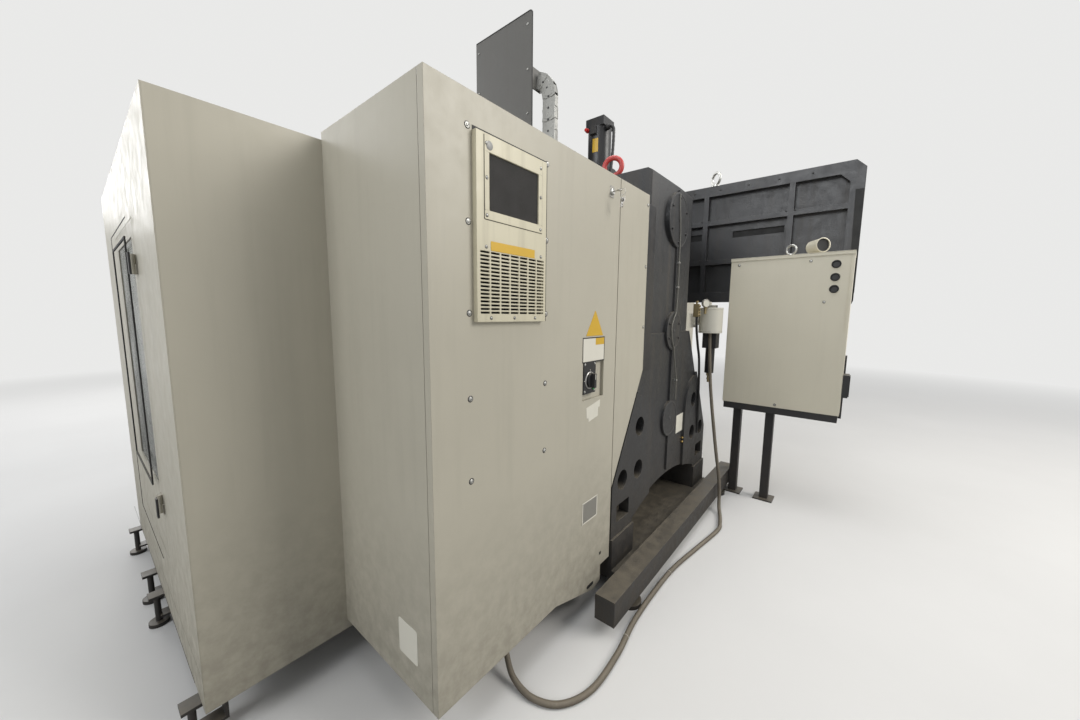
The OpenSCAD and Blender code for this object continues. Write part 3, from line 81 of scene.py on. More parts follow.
DOOR = corners("cabinet_door")
SIDE_COVER = corners("cabinet_side_cover")
COOLER = corners("cooling_unit")
SHELL = corners("cabinet_shell")
CHILLER = corners("chiller_body")
MAGAZINE = corners("magazine_frame")
ENCLOSURE = corners("enclosure_right")
FRONT = corners("enclosure_front")
SIDE_DOOR = corners("side_door")
PENDANT = corners("pendant_box")
KEY = corners("lock_key")
ISOLATOR = corners("isolator_base")
HANDLE = corners("isolator_handle")
GREY_COVER = corners("head_side_cover")
WHITE_COVER = corners("head_front_cover")
CARRIER = corners("head_conduit")

FACE_Y = SIDE_COVER[1].y
HALF_W = ENCLOSURE[1].x


def new_object(name, data):
    """An object in the scene, made from its data."""
    made = bpy.data.objects.new(name, data)
    bpy.context.scene.collection.objects.link(made)
    return made


# Camera

CAMERA_AT = (2.598, 1.833, 1.520)
CAMERA_LENS = 12.815
CAMERA_RIGHT = Vector((-0.6341, 0.7732, 0.0095))
CAMERA_DOWN = Vector((0.0861, 0.0828, -0.9928))
CAMERA_AHEAD = Vector((-0.7684, -0.6288, -0.1191))


def add_camera():
    data = bpy.data.cameras.new("camera")
    data.sensor_width = 36
    data.lens = CAMERA_LENS
    data.clip_start = 0.02
    data.clip_end = 200
    camera = new_object("camera", data)
    turn = Matrix((CAMERA_RIGHT, -CAMERA_DOWN, -CAMERA_AHEAD)).transposed()
    camera.matrix_world = Matrix.Translation(CAMERA_AT) @ turn.to_4x4()
    bpy.context.scene.camera = camera


# Shapes: each returns its points and faces

def block(x, y, z):
    """A box between two values on each axis."""
    points = [Vector((a, b, c)) for a in x for b in y for c in z]
    faces = [(0, 1, 3, 2), (4, 6, 7, 5), (0, 4, 5, 1), (2, 3, 7, 6), (0, 2, 6, 4), (1, 5, 7, 3)]
    return points, faces


def square_to(axis):
    """Two directions square to an axis, and the axis itself."""
    axis = Vector(axis).normalized()
    other = Vector(X) if abs(axis.z) > 0.9 else Vector(Z)
    side = axis.cross(other).normalized()
    return side, axis.cross(side).normalized(), axis


def ring_faces(first, second, sides):
    return [(first + k, first + (k + 1) % sides, second + (k + 1) % sides, second + k)
            for k in range(sides)]


def skin_faces(rings, sides):
    """Faces from each ring of points to the next, and one on each end."""
    faces = []
    for i in range(rings - 1):
        faces += ring_faces(i * sides, (i + 1) * sides, sides)
    return faces + [tuple(range(sides)), tuple(range((rings - 1) * sides, rings * sides))]


def circle(sides):
    """Cosine and sine of even steps round a circle."""
    angles = [2 * math.pi * k / sides for k in range(sides)]
    return [(math.cos(a), math.sin(a)) for a in angles]


def turned(profile, at, axis, sides=36):
    """A turned form: pairs of radius and height along an axis through a point."""
    side, rise, ahead = square_to(axis)
    points = [Vector(at) + (side * c + rise * s) * radius + ahead * height
              for radius, height in profile for c, s in circle(sides)]
    return points, skin_faces(len(profile), sides)


def band(profile, at, axis, sides=36):
    """A turned form whose profile closes on itself, such as a ring."""
    points, faces = turned(profile, at, axis, sides)
    faces = faces[:-2] + ring_faces((len(profile) - 1) * sides, 0, sides)
    return points, faces


def torus(at, axis, major, minor, sides=40, around=12):
    return band([(major + minor * c, minor * s) for c, s in circle(around)], at, axis, sides)


def swept(path, radius, sides=12):
    """A round bar along a path. The radius is one number, or one for each point."""
    path = [Vector(p) for p in path]
    count = len(path)
    radii = [radius] * count if isinstance(radius, (int, float)) else radius
    points = []
    side = None
    for i, point in enumerate(path):
        ahead = (path[min(i + 1, count - 1)] - path[max(i - 1, 0)]).normalized()
        side = square_to(ahead)[0] if side is None else (side - ahead * side.dot(ahead)).normalized()
        rise = ahead.cross(side)
        points += [point + (side * c + rise * s) * radii[i] for c, s in circle(sides)]
    return points, skin_faces(count, sides)


def sheet_of(outline, axis, low, high):
    """A flat outline in the two other axes, made solid from low to high along axis 0, 1 or 2."""
    def at(a, b, c):
        return Vector(((c, a, b), (a, c, b), (a, b, c))[axis])
    return [at(a, b, c) for c in (low, high) for a, b in outline], skin_faces(2, len(outline))


def rounded(x, z, radius, steps=5):
    """Outline of a rectangle with round corners."""
    outline = []
    for cx, cz, start in ((x[1] - radius, z[1] - radius, 0), (x[0] + radius, z[1] - radius, 90),
                          (x[0] + radius, z[0] + radius, 180), (x[1] - radius, z[0] + radius, 270)):
        outline += flat(arc((0, cx, cz), radius, start, start + 90, steps))
    return outline


def frame_of(x, z, width, axis, low, high):
    """Four bars round a rectangle, inside its edge."""
    bars = [((x[0], x[1]), (z[1] - width, z[1])), ((x[0], x[1]), (z[0], z[0] + width)),
            ((x[0], x[0] + width), (z[0] + width, z[1] - width)),
            ((x[1] - width, x[1]), (z[0] + width, z[1] - width))]
    span = (low, high)
    return [block(*((span, a, b), (a, span, b), (a, b, span))[axis]) for a, b in bars]


def moved(shape, matrix):
    points, faces = shape
    return [matrix @ p for p in points], faces


def curve_through(points, steps):
    """A smooth line through points, the same one that the cable's solid follows."""
    points = [Vector(p) for p in points]
    line = []
    for i in range(len(points) - 1):
        a = points[max(i - 1, 0)]
        b = points[i]
        c = points[i + 1]
        d = points[min(i + 2, len(points) - 1)]
        for k in range(steps):
            t = k / steps
            line.append(0.5 * (2 * b + (c - a) * t + (2 * a - 5 * b + 4 * c - d) * t * t
                               + (3 * b - a - 3 * c + d) * t ** 3))
    return line + [points[-1]]


def arc(centre, radius, start, end, steps):
    """Points on a circle in the plane of Y and Z, between two angles in degrees."""
    angles = [math.radians(start + (end - start) * k / steps) for k in range(steps + 1)]
    return [Vector(centre) + Vector((0, radius * math.cos(a), radius * math.sin(a))) for a in angles]


def flat(points):
    """The Y and Z of points, as an outline."""
    return [(p.y, p.z) for p in points]


def stepped(start, end, pitch):
    """Values from the start to the end, a pitch apart."""
    values = []
    while start < end:
        values.append(start)
        start += pitch
    return values


def marks_round(centre, face, half_width, reach, angles):
    """Bars on a face square to Y, set round a point at angles in degrees."""
    bar = block((-half_width, half_width), face, reach)
    place = Matrix.Translation((centre.x, 0, centre.z))
    return [moved(bar, place @ Matrix.Rotation(math.radians(a), 4, "Y")) for a in angles]


# Node trees

def node(tree, kind, inputs=None, **settings):
    """Adds a node. An input is a value, or another node's socket."""
    made = tree.nodes.new("ShaderNode" + kind)
    for key, value in settings.items():
        setattr(made, key, value)
    for key, value in (inputs or {}).items():
        if isinstance(value, bpy.types.NodeSocket):
            tree.links.new(value, made.inputs[key])
        else:
            made.inputs[key].default_value = value
    return made


def noise(tree, where, scale, detail=4, rough=0.55):
    made = node(tree, "TexNoise", {"Vector": where, "Scale": scale, "Detail": detail,
                                   "Roughness": rough})
    return made.outputs["Fac"]


def remap(tree, value, low, high, to_low=0.0, to_high=1.0):
    made = node(tree, "MapRange", {"Value": value, "From Min": low, "From Max": high,
                                   "To Min": to_low, "To Max": to_high})
    return made.outputs["Result"]


def math_of(tree, operation, a, b=0.0):
    return node(tree, "Math", {0: a, 1: b}, operation=operation, use_clamp=True).outputs[0]


def mix(tree, factor, a, b, blend="MIX"):
    made = node(tree, "Mix", {"Factor": factor, 6: a, 7: b}, data_type="RGBA", blend_type=blend)
    return made.outputs[2]


def times(tree, a, b):
    return math_of(tree, "MULTIPLY", a, b)


def largest(tree, a, b):
    return math_of(tree, "MAXIMUM", a, b)


def rgba(colour):
    return (*colour, 1.0)


def scaled(tree, where, scale):
    """Coordinates stretched by a factor on each axis."""
    return node(tree, "Mapping", {"Vector": where, "Scale": scale}).outputs[0]


def bumped(tree, normal, height, strength, distance):
    """A normal with a relief laid over it. The distance is in metres."""
    return node(tree, "Bump", {"Strength": strength, "Distance": distance, "Normal": normal,
                               "Height": height}).outputs[0]


def new_material(name):
    """An empty node material, its tree and the coordinates of the object's own frame."""
    material = bpy.data.materials.new(name)
    material.use_nodes = True
    tree = material.node_tree
    tree.nodes.clear()
    return material, tree, node(tree, "TexCoord").outputs["Object"]


def end_tree(tree, shader, kind="OutputMaterial"):
    tree.links.new(shader.outputs[0], node(tree, kind).inputs["Surface"])


DUST = (0.30, 0.26, 0.19)
# Colour of grime, and also of the painted shade towards the floor
GRIME_AND_SHADE = (0.075, 0.06, 0.042)


def surface(name, colour, rough=0.45, metal=0.0, spread=0.08, peel=0.05, peel_scale=380, cast=0.0,
            streaks=0.25, low_dirt=0.35, dust=0.3, chips=0.25, bare=(0.13, 0.12, 0.11), coat=0.0,
            brushed=None, spec=0.5):
    """A paint, metal or plastic. Sizes of its marks are in metres of the object's own frame."""
    material, tree, where = new_material(name)
    form = node(tree, "NewGeometry")
    patches = remap(tree, noise(tree, where, 1.3, 5), 0.3, 0.7, 1 - spread, 1 + spread * 0.6)
    mottle = noise(tree, where, 17, 6, 0.62)
    fine = noise(tree, where, 130, 4)
    toned = mix(tree, 1.0, rgba(colour), patches, "MULTIPLY")
    runs = noise(tree, scaled(tree, where, (11, 11, 0.7)), 1.6, 6, 0.6)
    runs = remap(tree, runs, 0.5, 0.72, 0, streaks)
    split = node(tree, "SeparateXYZ", {0: where})
    # Darker towards the floor: partly grime, partly painted shade of the lower parts
    low = remap(tree, split.outputs["Z"], 0.9, 0.02, 0, low_dirt)
    low = times(tree, low, remap(tree, mottle, 0.35, 0.62, 0.35, 1))
    dirt = largest(tree, runs, low)
    spots = times(tree, remap(tree, fine, 0.62, 0.74), remap(tree, mottle, 0.5, 0.64, 0, 0.5))
    dirt = largest(tree, dirt, times(tree, spots, streaks * 2))
    toned = mix(tree, dirt, toned, rgba(GRIME_AND_SHADE))
    facing = node(tree, "SeparateXYZ", {0: form.outputs["Normal"]}).outputs["Z"]
    top = remap(tree, facing, 0.55, 0.95, 0, dust)
    top = times(tree, top, remap(tree, mottle, 0.3, 0.7, 0.45, 1))
    toned = mix(tree, top, toned, rgba(DUST))
    rounded_normal = node(tree, "Bevel", {"Radius": 0.0022}, samples=4).outputs[0]
    if chips:
        bend = node(tree, "VectorMath", {0: rounded_normal, 1: form.outputs["Normal"]},
                    operation="DOT_PRODUCT").outputs["Value"]
        edge = times(tree, remap(tree, bend, 0.995, 0.9), remap(tree, mottle, 0.47, 0.6))
        toned = mix(tree, times(tree, edge, chips * 2), toned, rgba(bare))
    gloss = remap(tree, mottle, 0.3, 0.7, rough - 0.07, rough + 0.09)
    gloss = math_of(tree, "ADD", gloss, times(tree, largest(tree, dirt, top), 0.3))
    normal = bumped(tree, rounded_normal, noise(tree, where, peel_scale, 3), peel, 0.0015)
    if cast:
        normal = bumped(tree, normal, noise(tree, where, 95, 5, 0.6), cast, 0.003)
    if brushed:
        grain = noise(tree, scaled(tree, where, brushed), 60, 3)
        normal = bumped(tree, normal, grain, 0.12, 0.001)
    shader = node(tree, "BsdfPrincipled", {"Base Color": toned, "Roughness": gloss, "Metallic": metal,
                                           "Normal": normal, "Specular IOR Level": spec,
                                           "Coat Weight": coat, "Coat Roughness": 0.18})
    end_tree(tree, shader)
    return material


def clear(name, colour, rough, show, spread=0.1):
    """Glass or clear plastic: its colour, and how much of the light it stops."""
    material, tree, where = new_material(name)
    smear = noise(tree, where, 5, 6, 0.65)
    toned = mix(tree, remap(tree, smear, 0.45, 0.7, 0, spread), rgba(colour), rgba(DUST))
    gloss = remap(tree, smear, 0.35, 0.7, rough, rough + 0.2)
    bump = node(tree, "Bump", {"Strength": 0.03, "Distance": 0.001,
                               "Height": noise(tree, where, 40, 2)}).outputs[0]
    shader = node(tree, "BsdfPrincipled", {"Base Color": toned, "Roughness": gloss, "Normal": bump,
                                           "IOR": 1.48})
    through = node(tree, "BsdfTransparent", {"Color": (0.86, 0.9, 0.88, 1)})
    shown = remap(tree, smear, 0.3, 0.7, show, show + spread)
    blend = node(tree, "MixShader", {0: shown, 1: through.outputs[0], 2: shader.outputs[0]})
    end_tree(tree, blend)
    return material


# Finishes

BEIGE = (0.46, 0.435, 0.36)
CREAM = (0.60, 0.56, 0.42)
OFF_WHITE = (0.66, 0.62, 0.50)
CHARCOAL = (0.026, 0.027, 0.029)

FINISHES = {}


def add_finish(name, colour, rough, slot=None, make=surface, **marks):
    """Keeps a material under its name, with the slot of the record that it fills."""
    FINISHES[name] = make(name, colour, rough, **marks), slot or name


def make_paints():
    add_finish("casting", CHARCOAL, 0.42, cast=0.5, peel=0.1, streaks=0.3, dust=0.35, spread=0.16,
               low_dirt=0.5, bare=(0.16, 0.13, 0.10))
    add_finish("frame_paint", (0.040, 0.041, 0.044), 0.36, "casting", cast=0.3, peel=0.08,
               spread=0.12, streaks=0.2, bare=(0.2, 0.19, 0.18))
    add_finish("filler", (0.052, 0.052, 0.054), 0.38, "casting", cast=0.12)
    add_finish("black_steel", (0.018, 0.018, 0.02), 0.4, peel=0.1)
    add_finish("red_paint", (0.50, 0.05, 0.045), 0.35, spread=0.2, chips=0.6)
    add_finish("motor_black", (0.016, 0.016, 0.018), 0.38, cast=0.25)
    add_finish("dark_cover", (0.105, 0.103, 0.096), 0.42, spread=0.06, streaks=0.12, dust=0.15)
    add_finish("white_cover", (0.72, 0.72, 0.69), 0.4, "light_paint", spread=0.04, streaks=0.1,
               dust=0.15)
    add_finish("light_paint", BEIGE, 0.4, spread=0.06, streaks=0.06, low_dirt=0.45, dust=0.25,
               chips=0.06, spec=0.35)
    add_finish("cream_paint", OFF_WHITE, 0.42, spread=0.05, streaks=0.03, low_dirt=0.1, dust=0.2,
               chips=0.06)
    add_finish("bezel", CREAM, 0.42, "cream_paint", spread=0.1, streaks=0.22, dust=0.35)


def make_metals():
    add_finish("bare_steel", (0.55, 0.54, 0.52), 0.3, metal=1.0, chips=0.1, streaks=0.1,
               brushed=(4, 4, 40))
    add_finish("machined_iron", (0.40, 0.40, 0.40), 0.33, metal=0.9, chips=0.15, streaks=0.12,
               brushed=(3, 60, 3))
    add_finish("zinc_plate", (0.50, 0.50, 0.48), 0.35, metal=0.9, spread=0.15)
    add_finish("silver_chain", (0.42, 0.42, 0.40), 0.3, "zinc_plate", metal=0.7, spread=0.15,
               streaks=0.2)
    add_finish("brass", (0.50, 0.34, 0.12), 0.32, "bare_steel", metal=1.0, chips=0.0)
    add_finish("dull_brass", (0.30, 0.24, 0.13), 0.4, "bare_steel", metal=0.8, spread=0.2, chips=0.0)


def make_plastics():
    plain = {"streaks": 0.05, "low_dirt": 0.0, "chips": 0.0}
    white, black = "white_plastic", "black_plastic"
    add_finish("clear_plastic", (0.55, 0.56, 0.55), 0.25, make=clear, show=0.55)
    add_finish("glass", (0.05, 0.06, 0.06), 0.04, make=clear, show=0.55, spread=0.06)
    add_finish("red_plastic", (0.55, 0.02, 0.018), 0.3, **plain)
    add_finish("green_plastic", (0.03, 0.30, 0.07), 0.3, **plain)
    add_finish(black, (0.015, 0.015, 0.016), 0.45, **plain)
    add_finish("rubber", (0.012, 0.012, 0.012), 0.65, black, **plain)
    add_finish(white, (0.62, 0.60, 0.52), 0.38, spread=0.1, **plain)
    add_finish("cable_sheath", (0.17, 0.145, 0.11), 0.5, spread=0.2, streaks=0.3, low_dirt=0.3)
    add_finish("yellow", (0.62, 0.38, 0.02), 0.4, "cream_paint", spread=0.1, **plain)
    add_finish("paper", (0.68, 0.66, 0.58), 0.6, white, spread=0.05, **plain)
    add_finish("name_plate", (0.34, 0.33, 0.30), 0.38, "zinc_plate", metal=0.6, **plain)
    add_finish("dark_filter", (0.055, 0.052, 0.05), 0.55, black, spread=0.1, **plain)
    add_finish("pale_tube", (0.45, 0.43, 0.36), 0.45, white, **plain)
    add_finish("old_tube", (0.17, 0.165, 0.145), 0.5, white, **plain)
    add_finish("key_caps", (0.30, 0.30, 0.29), 0.45, white, **plain)
    add_finish("screen", (0.012, 0.016, 0.02), 0.12, "glass", coat=0.6, **plain)


make_paints()
make_metals()
make_plastics()


def dress_nodes():
    """Gives every CAD node the finish of its slot, or a finish of its own."""
    own = {"cooling_unit": "bezel", "head_front_cover": "white_cover",
           "magazine_frame": "frame_paint", "isolator_base": "black_plastic",
           "atc_gearbox": "frame_paint", "chip_pan": "bare_steel"}
    slots = {row["node"]: row["material_slot"] for row in frame["record"]["subparts"]}
    for name, obj in frame["nodes"].items():
        obj.data.materials.clear()
        obj.data.materials.append(FINISHES[own.get(name, slots[name])][0])


def piece(name, shapes, body, finish, bevel=0.0):
    """Joins shapes into one object with a finish, soft edges and a body to ride on."""
    points, faces = [], []
    for shape_points, shape_faces in shapes:
        start = len(points)
        points += [Vector(p) * MM for p in shape_points]
        faces += [[i + start for i in face] for face in shape_faces]
    mesh = bpy.data.meshes.new(name)
    mesh.from_pydata(points, [], faces)
    form = bmesh.new()
    form.from_mesh(mesh)
    bmesh.ops.recalc_face_normals(form, faces=form.faces)
    for edge in form.edges:
        edge.smooth = len(edge.link_faces) == 2 and edge.calc_face_angle(0) < SHARP_ANGLE
    for face in form.faces:
        face.smooth = True
    form.to_mesh(mesh)
    form.free()
    material, slot = FINISHES[finish]
    mesh.materials.append(material)
    obj = new_object(name, mesh)
    if bevel:
        soften = obj.modifiers.new("soft_edges", "BEVEL")
        soften.width = bevel * MM
        soften.segments = 2
        soften.limit_method = "ANGLE"
        soften.angle_limit = SHARP_ANGLE
        weigh = obj.modifiers.new("even_shading", "WEIGHTED_NORMAL")
        weigh.keep_sharp = True
    if body is not None:
        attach(obj, body)
    return obj


# Small parts that repeat

def screw(at, axis, radius):
    """A washer and a domed head with a socket."""
    profile = [(1.5, 0), (1.5, 0.2), (1, 0.22), (1, 0.55), (0.8, 0.8), (0.42, 0.86), (0.42, 0.4)]
    return [turned([(radius * a, radius * b) for a, b in profile], at, axis, 20)]


def screws_in_place(name, places, axis, radius, body):
    """Screw heads at several places on a face, each on a dark ring of painted shade."""
    heads, shade_rings = [], []
    for place in places:
        heads += screw(Vector(place) + Vector(axis) * 0.5, axis, radius)
        # A dark ring round each head: painted shade under it
        rim = radius * 1.9
        shade_rings.append(turned([(rim, 0), (rim, 0.5), (radius * 1.7, 0.6)], place, axis, 20))
    piece(name, heads, body, "zinc_plate")
    piece(name + "_washers", shade_rings, body, "rubber")


def hex_bolt(at, axis, radius):
    """A washer and a six-sided head."""
    washer = turned([(radius * 1.45, 0), (radius * 1.45, radius * 0.25)], at, axis, 24)
    wide = radius * 1.1
    return [washer, turned([(wide, 0), (wide, radius), (radius * 0.95, radius * 1.15)], at, axis, 6)]


def eyebolt(at, ring, wire, lean=0.0):
    """A lifting eye on a round collar, with its ring in the plane of X and Z."""
    foot = turned([(ring * 0.75, 0), (ring * 0.75, wire * 0.7), (ring * 0.45, wire * 1.1),
                   (wire * 1.2, wire * 2.2)], at, Z, 28)
    centre = Vector(at) + Vector((0, 0, ring + wire * 1.6))
    turn = Matrix.Translation(centre) @ Matrix.Rotation(math.radians(lean), 4, "Z")
    return [foot, moved(torus((0, 0, 0), Y, ring, wire, 36, 14), turn)]


def plate_on_face(name, x, z, thick, finish, radius=4, face=FACE_Y, body=DOOR_SET):
    """A flat plate with round corners on a face that looks towards +Y."""
    plate = sheet_of(rounded(x, z, radius), 1, face, face + thick)
    piece(name, [plate], body, finish, min(0.5, thick / 3))


# Cable on the floor

CABLE_RADIUS = 13
CABLE_RIDGE = 5
CABLE_ROUTE = [(-588, 949, 1384.7), (-588, 952, 1300), (-584, 962, 1150), (-577, 982, 950),
               (-566, 1018, 700), (-553, 1062, 430), (-547, 1088, 290), (-541, 1104, 160),
               (-526, 1111, 80), (-486, 1124, 31), (-420, 1148, 14), (-300, 1180, 14),
               (-180, 1194, 14), (145, 1146, 14), (420, 1106, 14), (678, 1096, 14),
               (950, 1102, 14), (1170, 1128, 14), (1380, 1128, 14), (1510, 1070, 14),
               (1565, 970, 14), (1560, 860, 26), (1530, 790, 70), (1514, 762, 130),
               (1510, 756, 197.5)]


def add_cable():
    """A ribbed conduit from the lubrication unit over the floor and up into the cabinet."""
    steps = 24
    line = curve_through(CABLE_ROUTE, steps)
    line = [Vector((p.x, p.y, max(p.z, CABLE_RADIUS + 0.5))) for p in line]
    rings, radii = [], []
    travelled, after = 0.0, 0.0
    for a, b in zip(line, line[1:]):
        length = (b - a).length
        while after <= travelled + length:
            rings.append(a.lerp(b, (after - travelled) / length))
            radii.append(CABLE_RADIUS if len(rings) % 2 else CABLE_RADIUS - 1.1)
            after += CABLE_RIDGE / 2
        travelled += length
    rings.append(line[-1])
    radii.append(CABLE_RADIUS)
    cable = piece("floor_conduit", [swept(rings, radii, 12)], ROOT, "cable_sheath")
    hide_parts("bed_cable")
    ties = [torus(line[i] + Vector((0, 0, 1.4)), line[i + 1] - line[i - 1], CABLE_RADIUS + 0.5, 1.1,
                  20, 8)
            for i in (steps * 14 + 6, steps * 16 + 12)]
    piece("conduit_ties", ties, ROOT, "white_plastic")


# Electrical cabinet

def door_fasteners():
    """Gasket, screws on dark rings of painted shade, and lock of the cabinet's door."""
    low, high = DOOR
    edge = 5
    gasket = frame_of((low.x + edge, high.x - edge), (low.z + edge, high.z - edge), 9, 1,
                      low.y - 1.7, low.y - 0.2)
    piece("door_gasket", gasket, ROOT, "rubber")
    heads, shade_rings = [], []
    for x in (COOLER[1].x + 18, COOLER[0].x - 26):
        for z in (2080, 1801, 1520, 1243, 963):
            heads += screw((x, FACE_Y + 0.5, z), Y, 5.5)
            # A dark ring round each head: painted shade under it
            shade_rings.append(turned([(11, 0), (11, 0.5), (9, 0.7)], (x, FACE_Y, z), Y, 24))
    piece("door_screw_shade_rings", shade_rings, DOOR_SET, "rubber")
    lock = middle_of(KEY)
    lock.y = FACE_Y
    rim = band([(10.4, 0), (10.4, 7.5), (12, 9), (15, 8), (17, 2), (17, 0)], lock, Y, 36)
    fasteners = piece("door_screws_and_lock_ring", heads + [rim], DOOR_SET, "zinc_plate")
    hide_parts("door_fasteners")
    plate_on_face("lock_plate", (lock.x - 20, lock.x + 20), (lock.z - 27, lock.z + 27), 1.5,
                  "name_plate", 5)


def cabinet_sides():
    """Screws of the narrow cover and the bare label on the cabinet's side."""
    places = [(500, FACE_Y, z) for z in (2125, 1790, 1450)]
    screws_in_place("side_cover_screws", places, Y, 5, ROOT)
    sticker = rounded((657, 772), (316, 449), 10)
    piece("bare_side_label", [sheet_of(sticker, 0, SHELL[1].x, SHELL[1].x + 0.7)], ROOT, "paper")


def door_labels():
    """Bare sign, labels and plate on the door."""
    triangle = [Vector(corner) for corner in ((1107, 1420), (954, 1420), (1030.5, 1540))]
    soft = []
    for i, corner in enumerate(triangle):
        before, after = triangle[i - 1], triangle[(i + 1) % 3]
        for k in range(5):
            a = corner.lerp(before, 0.06 * (4 - k) / 4)
            b = corner.lerp(after, 0.06 * k / 4)
            soft.append(tuple((a + b) / 2))
    piece("triangle_sign", [sheet_of(soft, 1, FACE_Y, FACE_Y + 0.8)], DOOR_SET, "yellow")
    label = ((938, 1133), (1297, 1414))
    plate_on_face("label_plate", *label, 0.8, "paper")
    piece("label_border", frame_of(*label, 5, 1, FACE_Y + 0.7, FACE_Y + 1.1), DOOR_SET,
          "black_plastic")
    piece("label_band", [block((943, 1022), (FACE_Y + 0.7, FACE_Y + 1.1), (1377, 1409))],
          DOOR_SET, "yellow")
    slip = [(966, 1104), (1090, 1082), (1086, 1030), (1070, 1028), (1066, 1010), (984, 1024),
            (982, 1068), (968, 1068)]
    piece("paper_slip", [sheet_of(slip, 1, FACE_Y, FACE_Y + 0.5)], DOOR_SET, "paper")
    plate = ((966, 1105), (500, 612))
    plate_on_face("type_plate", *plate, 1.0, "name_plate", 3)
    piece("type_plate_border", frame_of(*plate, 7, 1, FACE_Y + 0.9, FACE_Y + 1.4), DOOR_SET, "paper")
    rivets = [turned([(2.6, 0), (2.2, 1.6), (1.0, 2.2)], (x, FACE_Y + 0.6, z), Y, 12)
              for x in (972, 1099) for z in (506, 606)]
    piece("type_plate_rivets", rivets, DOOR_SET, "bare_steel")


def cabinet_seams():
    """Black fill of the slot below the door and of the hole in the door, both painted shade, and seam
    round the roof.
    """
    # Black rounded patch over the slot: painted shade
    slot_fill = sheet_of(rounded((985, 1045), (128, 146), 8), 1, FACE_Y, FACE_Y + 1.6)
    piece("skirt_slot_shade", [slot_fill], ROOT, "rubber")
    # Black square just behind the hole in the door: painted shade
    square = sheet_of(rounded((912, 932), (252, 280), 3), 1, FACE_Y - 2.4, FACE_Y - 1.2)
    piece("door_hole_shade", [square], DOOR_SET, "rubber")
    low, high = DOOR
    roof = frame_of((SHELL[0].x + 8, SHELL[1].x - 8), (SHELL[0].y + 8, low.y - 8), 4, 2,
                    high.z, high.z + 2)
    piece("roof_seam", roof, ROOT, "light_paint", 0.6)


def keys():
    """Key ring with spare keys, hanging from the key in the lock."""
    centre = middle_of(KEY) + Vector((0, 0, -10))
    centre.y = KEY[1].y + 4
    rings = [torus(centre, (1, 0, 0.12), 15, 0.9, 40, 8)]
    second = centre + Vector((2, 4, -24))
    rings.append(torus(second, (0.9, 0.3, 0.1), 11, 0.8, 36, 8))
    piece("key_rings", rings, "key_set", "bare_steel")
    cut = []
    for lean, twist, drop in ((8, 20, 33), (-14, -35, 35), (3, 70, 34)):
        outline = flat(arc((0, 0, 0), 11, -60, 240, 15))
        outline += [(-3.6, -12), (-3.6, -20), (-2.4, -22), (-3.6, -25), (-2.2, -28), (-3.6, -32),
                    (0, -37), (3.6, -34), (3.6, -12)]
        key = sheet_of(outline, 1, -1.1, 1.1)
        turn = (Matrix.Translation(centre + Vector((0, 2, -drop)))
                @ Matrix.Rotation(math.radians(twist), 4, "Z")
                @ Matrix.Rotation(math.radians(lean), 4, "Y"))
        cut.append(moved(key, turn))
    piece("spare_keys", cut, "key_set", "bare_steel", 0.3)


def isolator():
    """Screws, collar, marks and lamp of the main isolator."""
    low, high = ISOLATOR
    front = high.y
    c = middle_of(HANDLE)
    screws = []
    for x in (low.x + 10, high.x - 10):
        for z in (low.z + 12, high.z - 12):
            screws += screw((x, front, z), Y, 4)
    piece("isolator_screws", screws, DOOR_SET, "zinc_plate")
    collar = band([(36, 0), (36, 3), (39, 3), (42, 0)], (c.x, front, c.z), Y, 40)
    piece("isolator_collar", [collar], DOOR_SET, "bare_steel")
    grip = HANDLE[1].y
    mark = block((c.x - 2.2, c.x + 2.2), (grip - 0.5, grip + 0.6), (c.z + 6, c.z + 31))
    piece("isolator_pointer", [mark], "isolator_set", "paper")
    ticks = marks_round(c, (front, front + 0.6), 1.4, (44, 52), (0, 90))
    piece("isolator_ticks", ticks, DOOR_SET, "paper")
    lamp = turned([(6, 0), (6, 3), (4, 5)], (low.x + 20, front, low.z + 20), Y, 20)
    piece("isolator_lamp", [lamp], DOOR_SET, "green_plastic")


WINDOW_X = (COOLER[0].x + 48, COOLER[1].x - 53)
WINDOW_Z = (COOLER[1].z - 229, COOLER[1].z - 54)
COVER_X = (WINDOW_X[0] - 21, WINDOW_X[1] + 20)
COVER_Z = (WINDOW_Z[0] - 28, COOLER[1].z - 6)


def cooler_filter():
    """Service cover of the cooling unit, with the filter mesh and felt in its window."""
    front = COOLER[1].y
    edge = [block(x, (front, front + 2), z) for x, z in (
        (COVER_X, (WINDOW_Z[1], COVER_Z[1])), (COVER_X, (COVER_Z[0], WINDOW_Z[0])),
        ((COVER_X[0], WINDOW_X[0]), WINDOW_Z), ((WINDOW_X[1], COVER_X[1]), WINDOW_Z))]
    piece("filter_cover", edge, DOOR_SET, "bezel", 0.6)
    seam = [block(x, (front, front + 0.8), z) for x, z in (
        ((COVER_X[0] - 1.6, COVER_X[0]), COVER_Z), ((COVER_X[1], COVER_X[1] + 1.6), COVER_Z),
        (COVER_X, (COVER_Z[0] - 1.8, COVER_Z[0])))]
    piece("filter_cover_seam", seam, DOOR_SET, "rubber")
    pitch = 4.5
    depth = front - 4.5
    wires = [block((x, x + 1.6), (depth, depth + 1.4), WINDOW_Z) for x in stepped(*WINDOW_X, pitch)]
    wires += [block(WINDOW_X, (depth - 0.9, depth + 0.5), (z, z + 1.6))
              for z in stepped(*WINDOW_Z, pitch)]
    piece("filter_mesh", wires, DOOR_SET, "dark_filter")
    felt = block((WINDOW_X[0] - 3, WINDOW_X[1] + 3), (depth - 9, depth - 3),
                 (WINDOW_Z[0] - 3, WINDOW_Z[1] + 3))
    piece("filter_felt", [felt], DOOR_SET, "dark_filter")


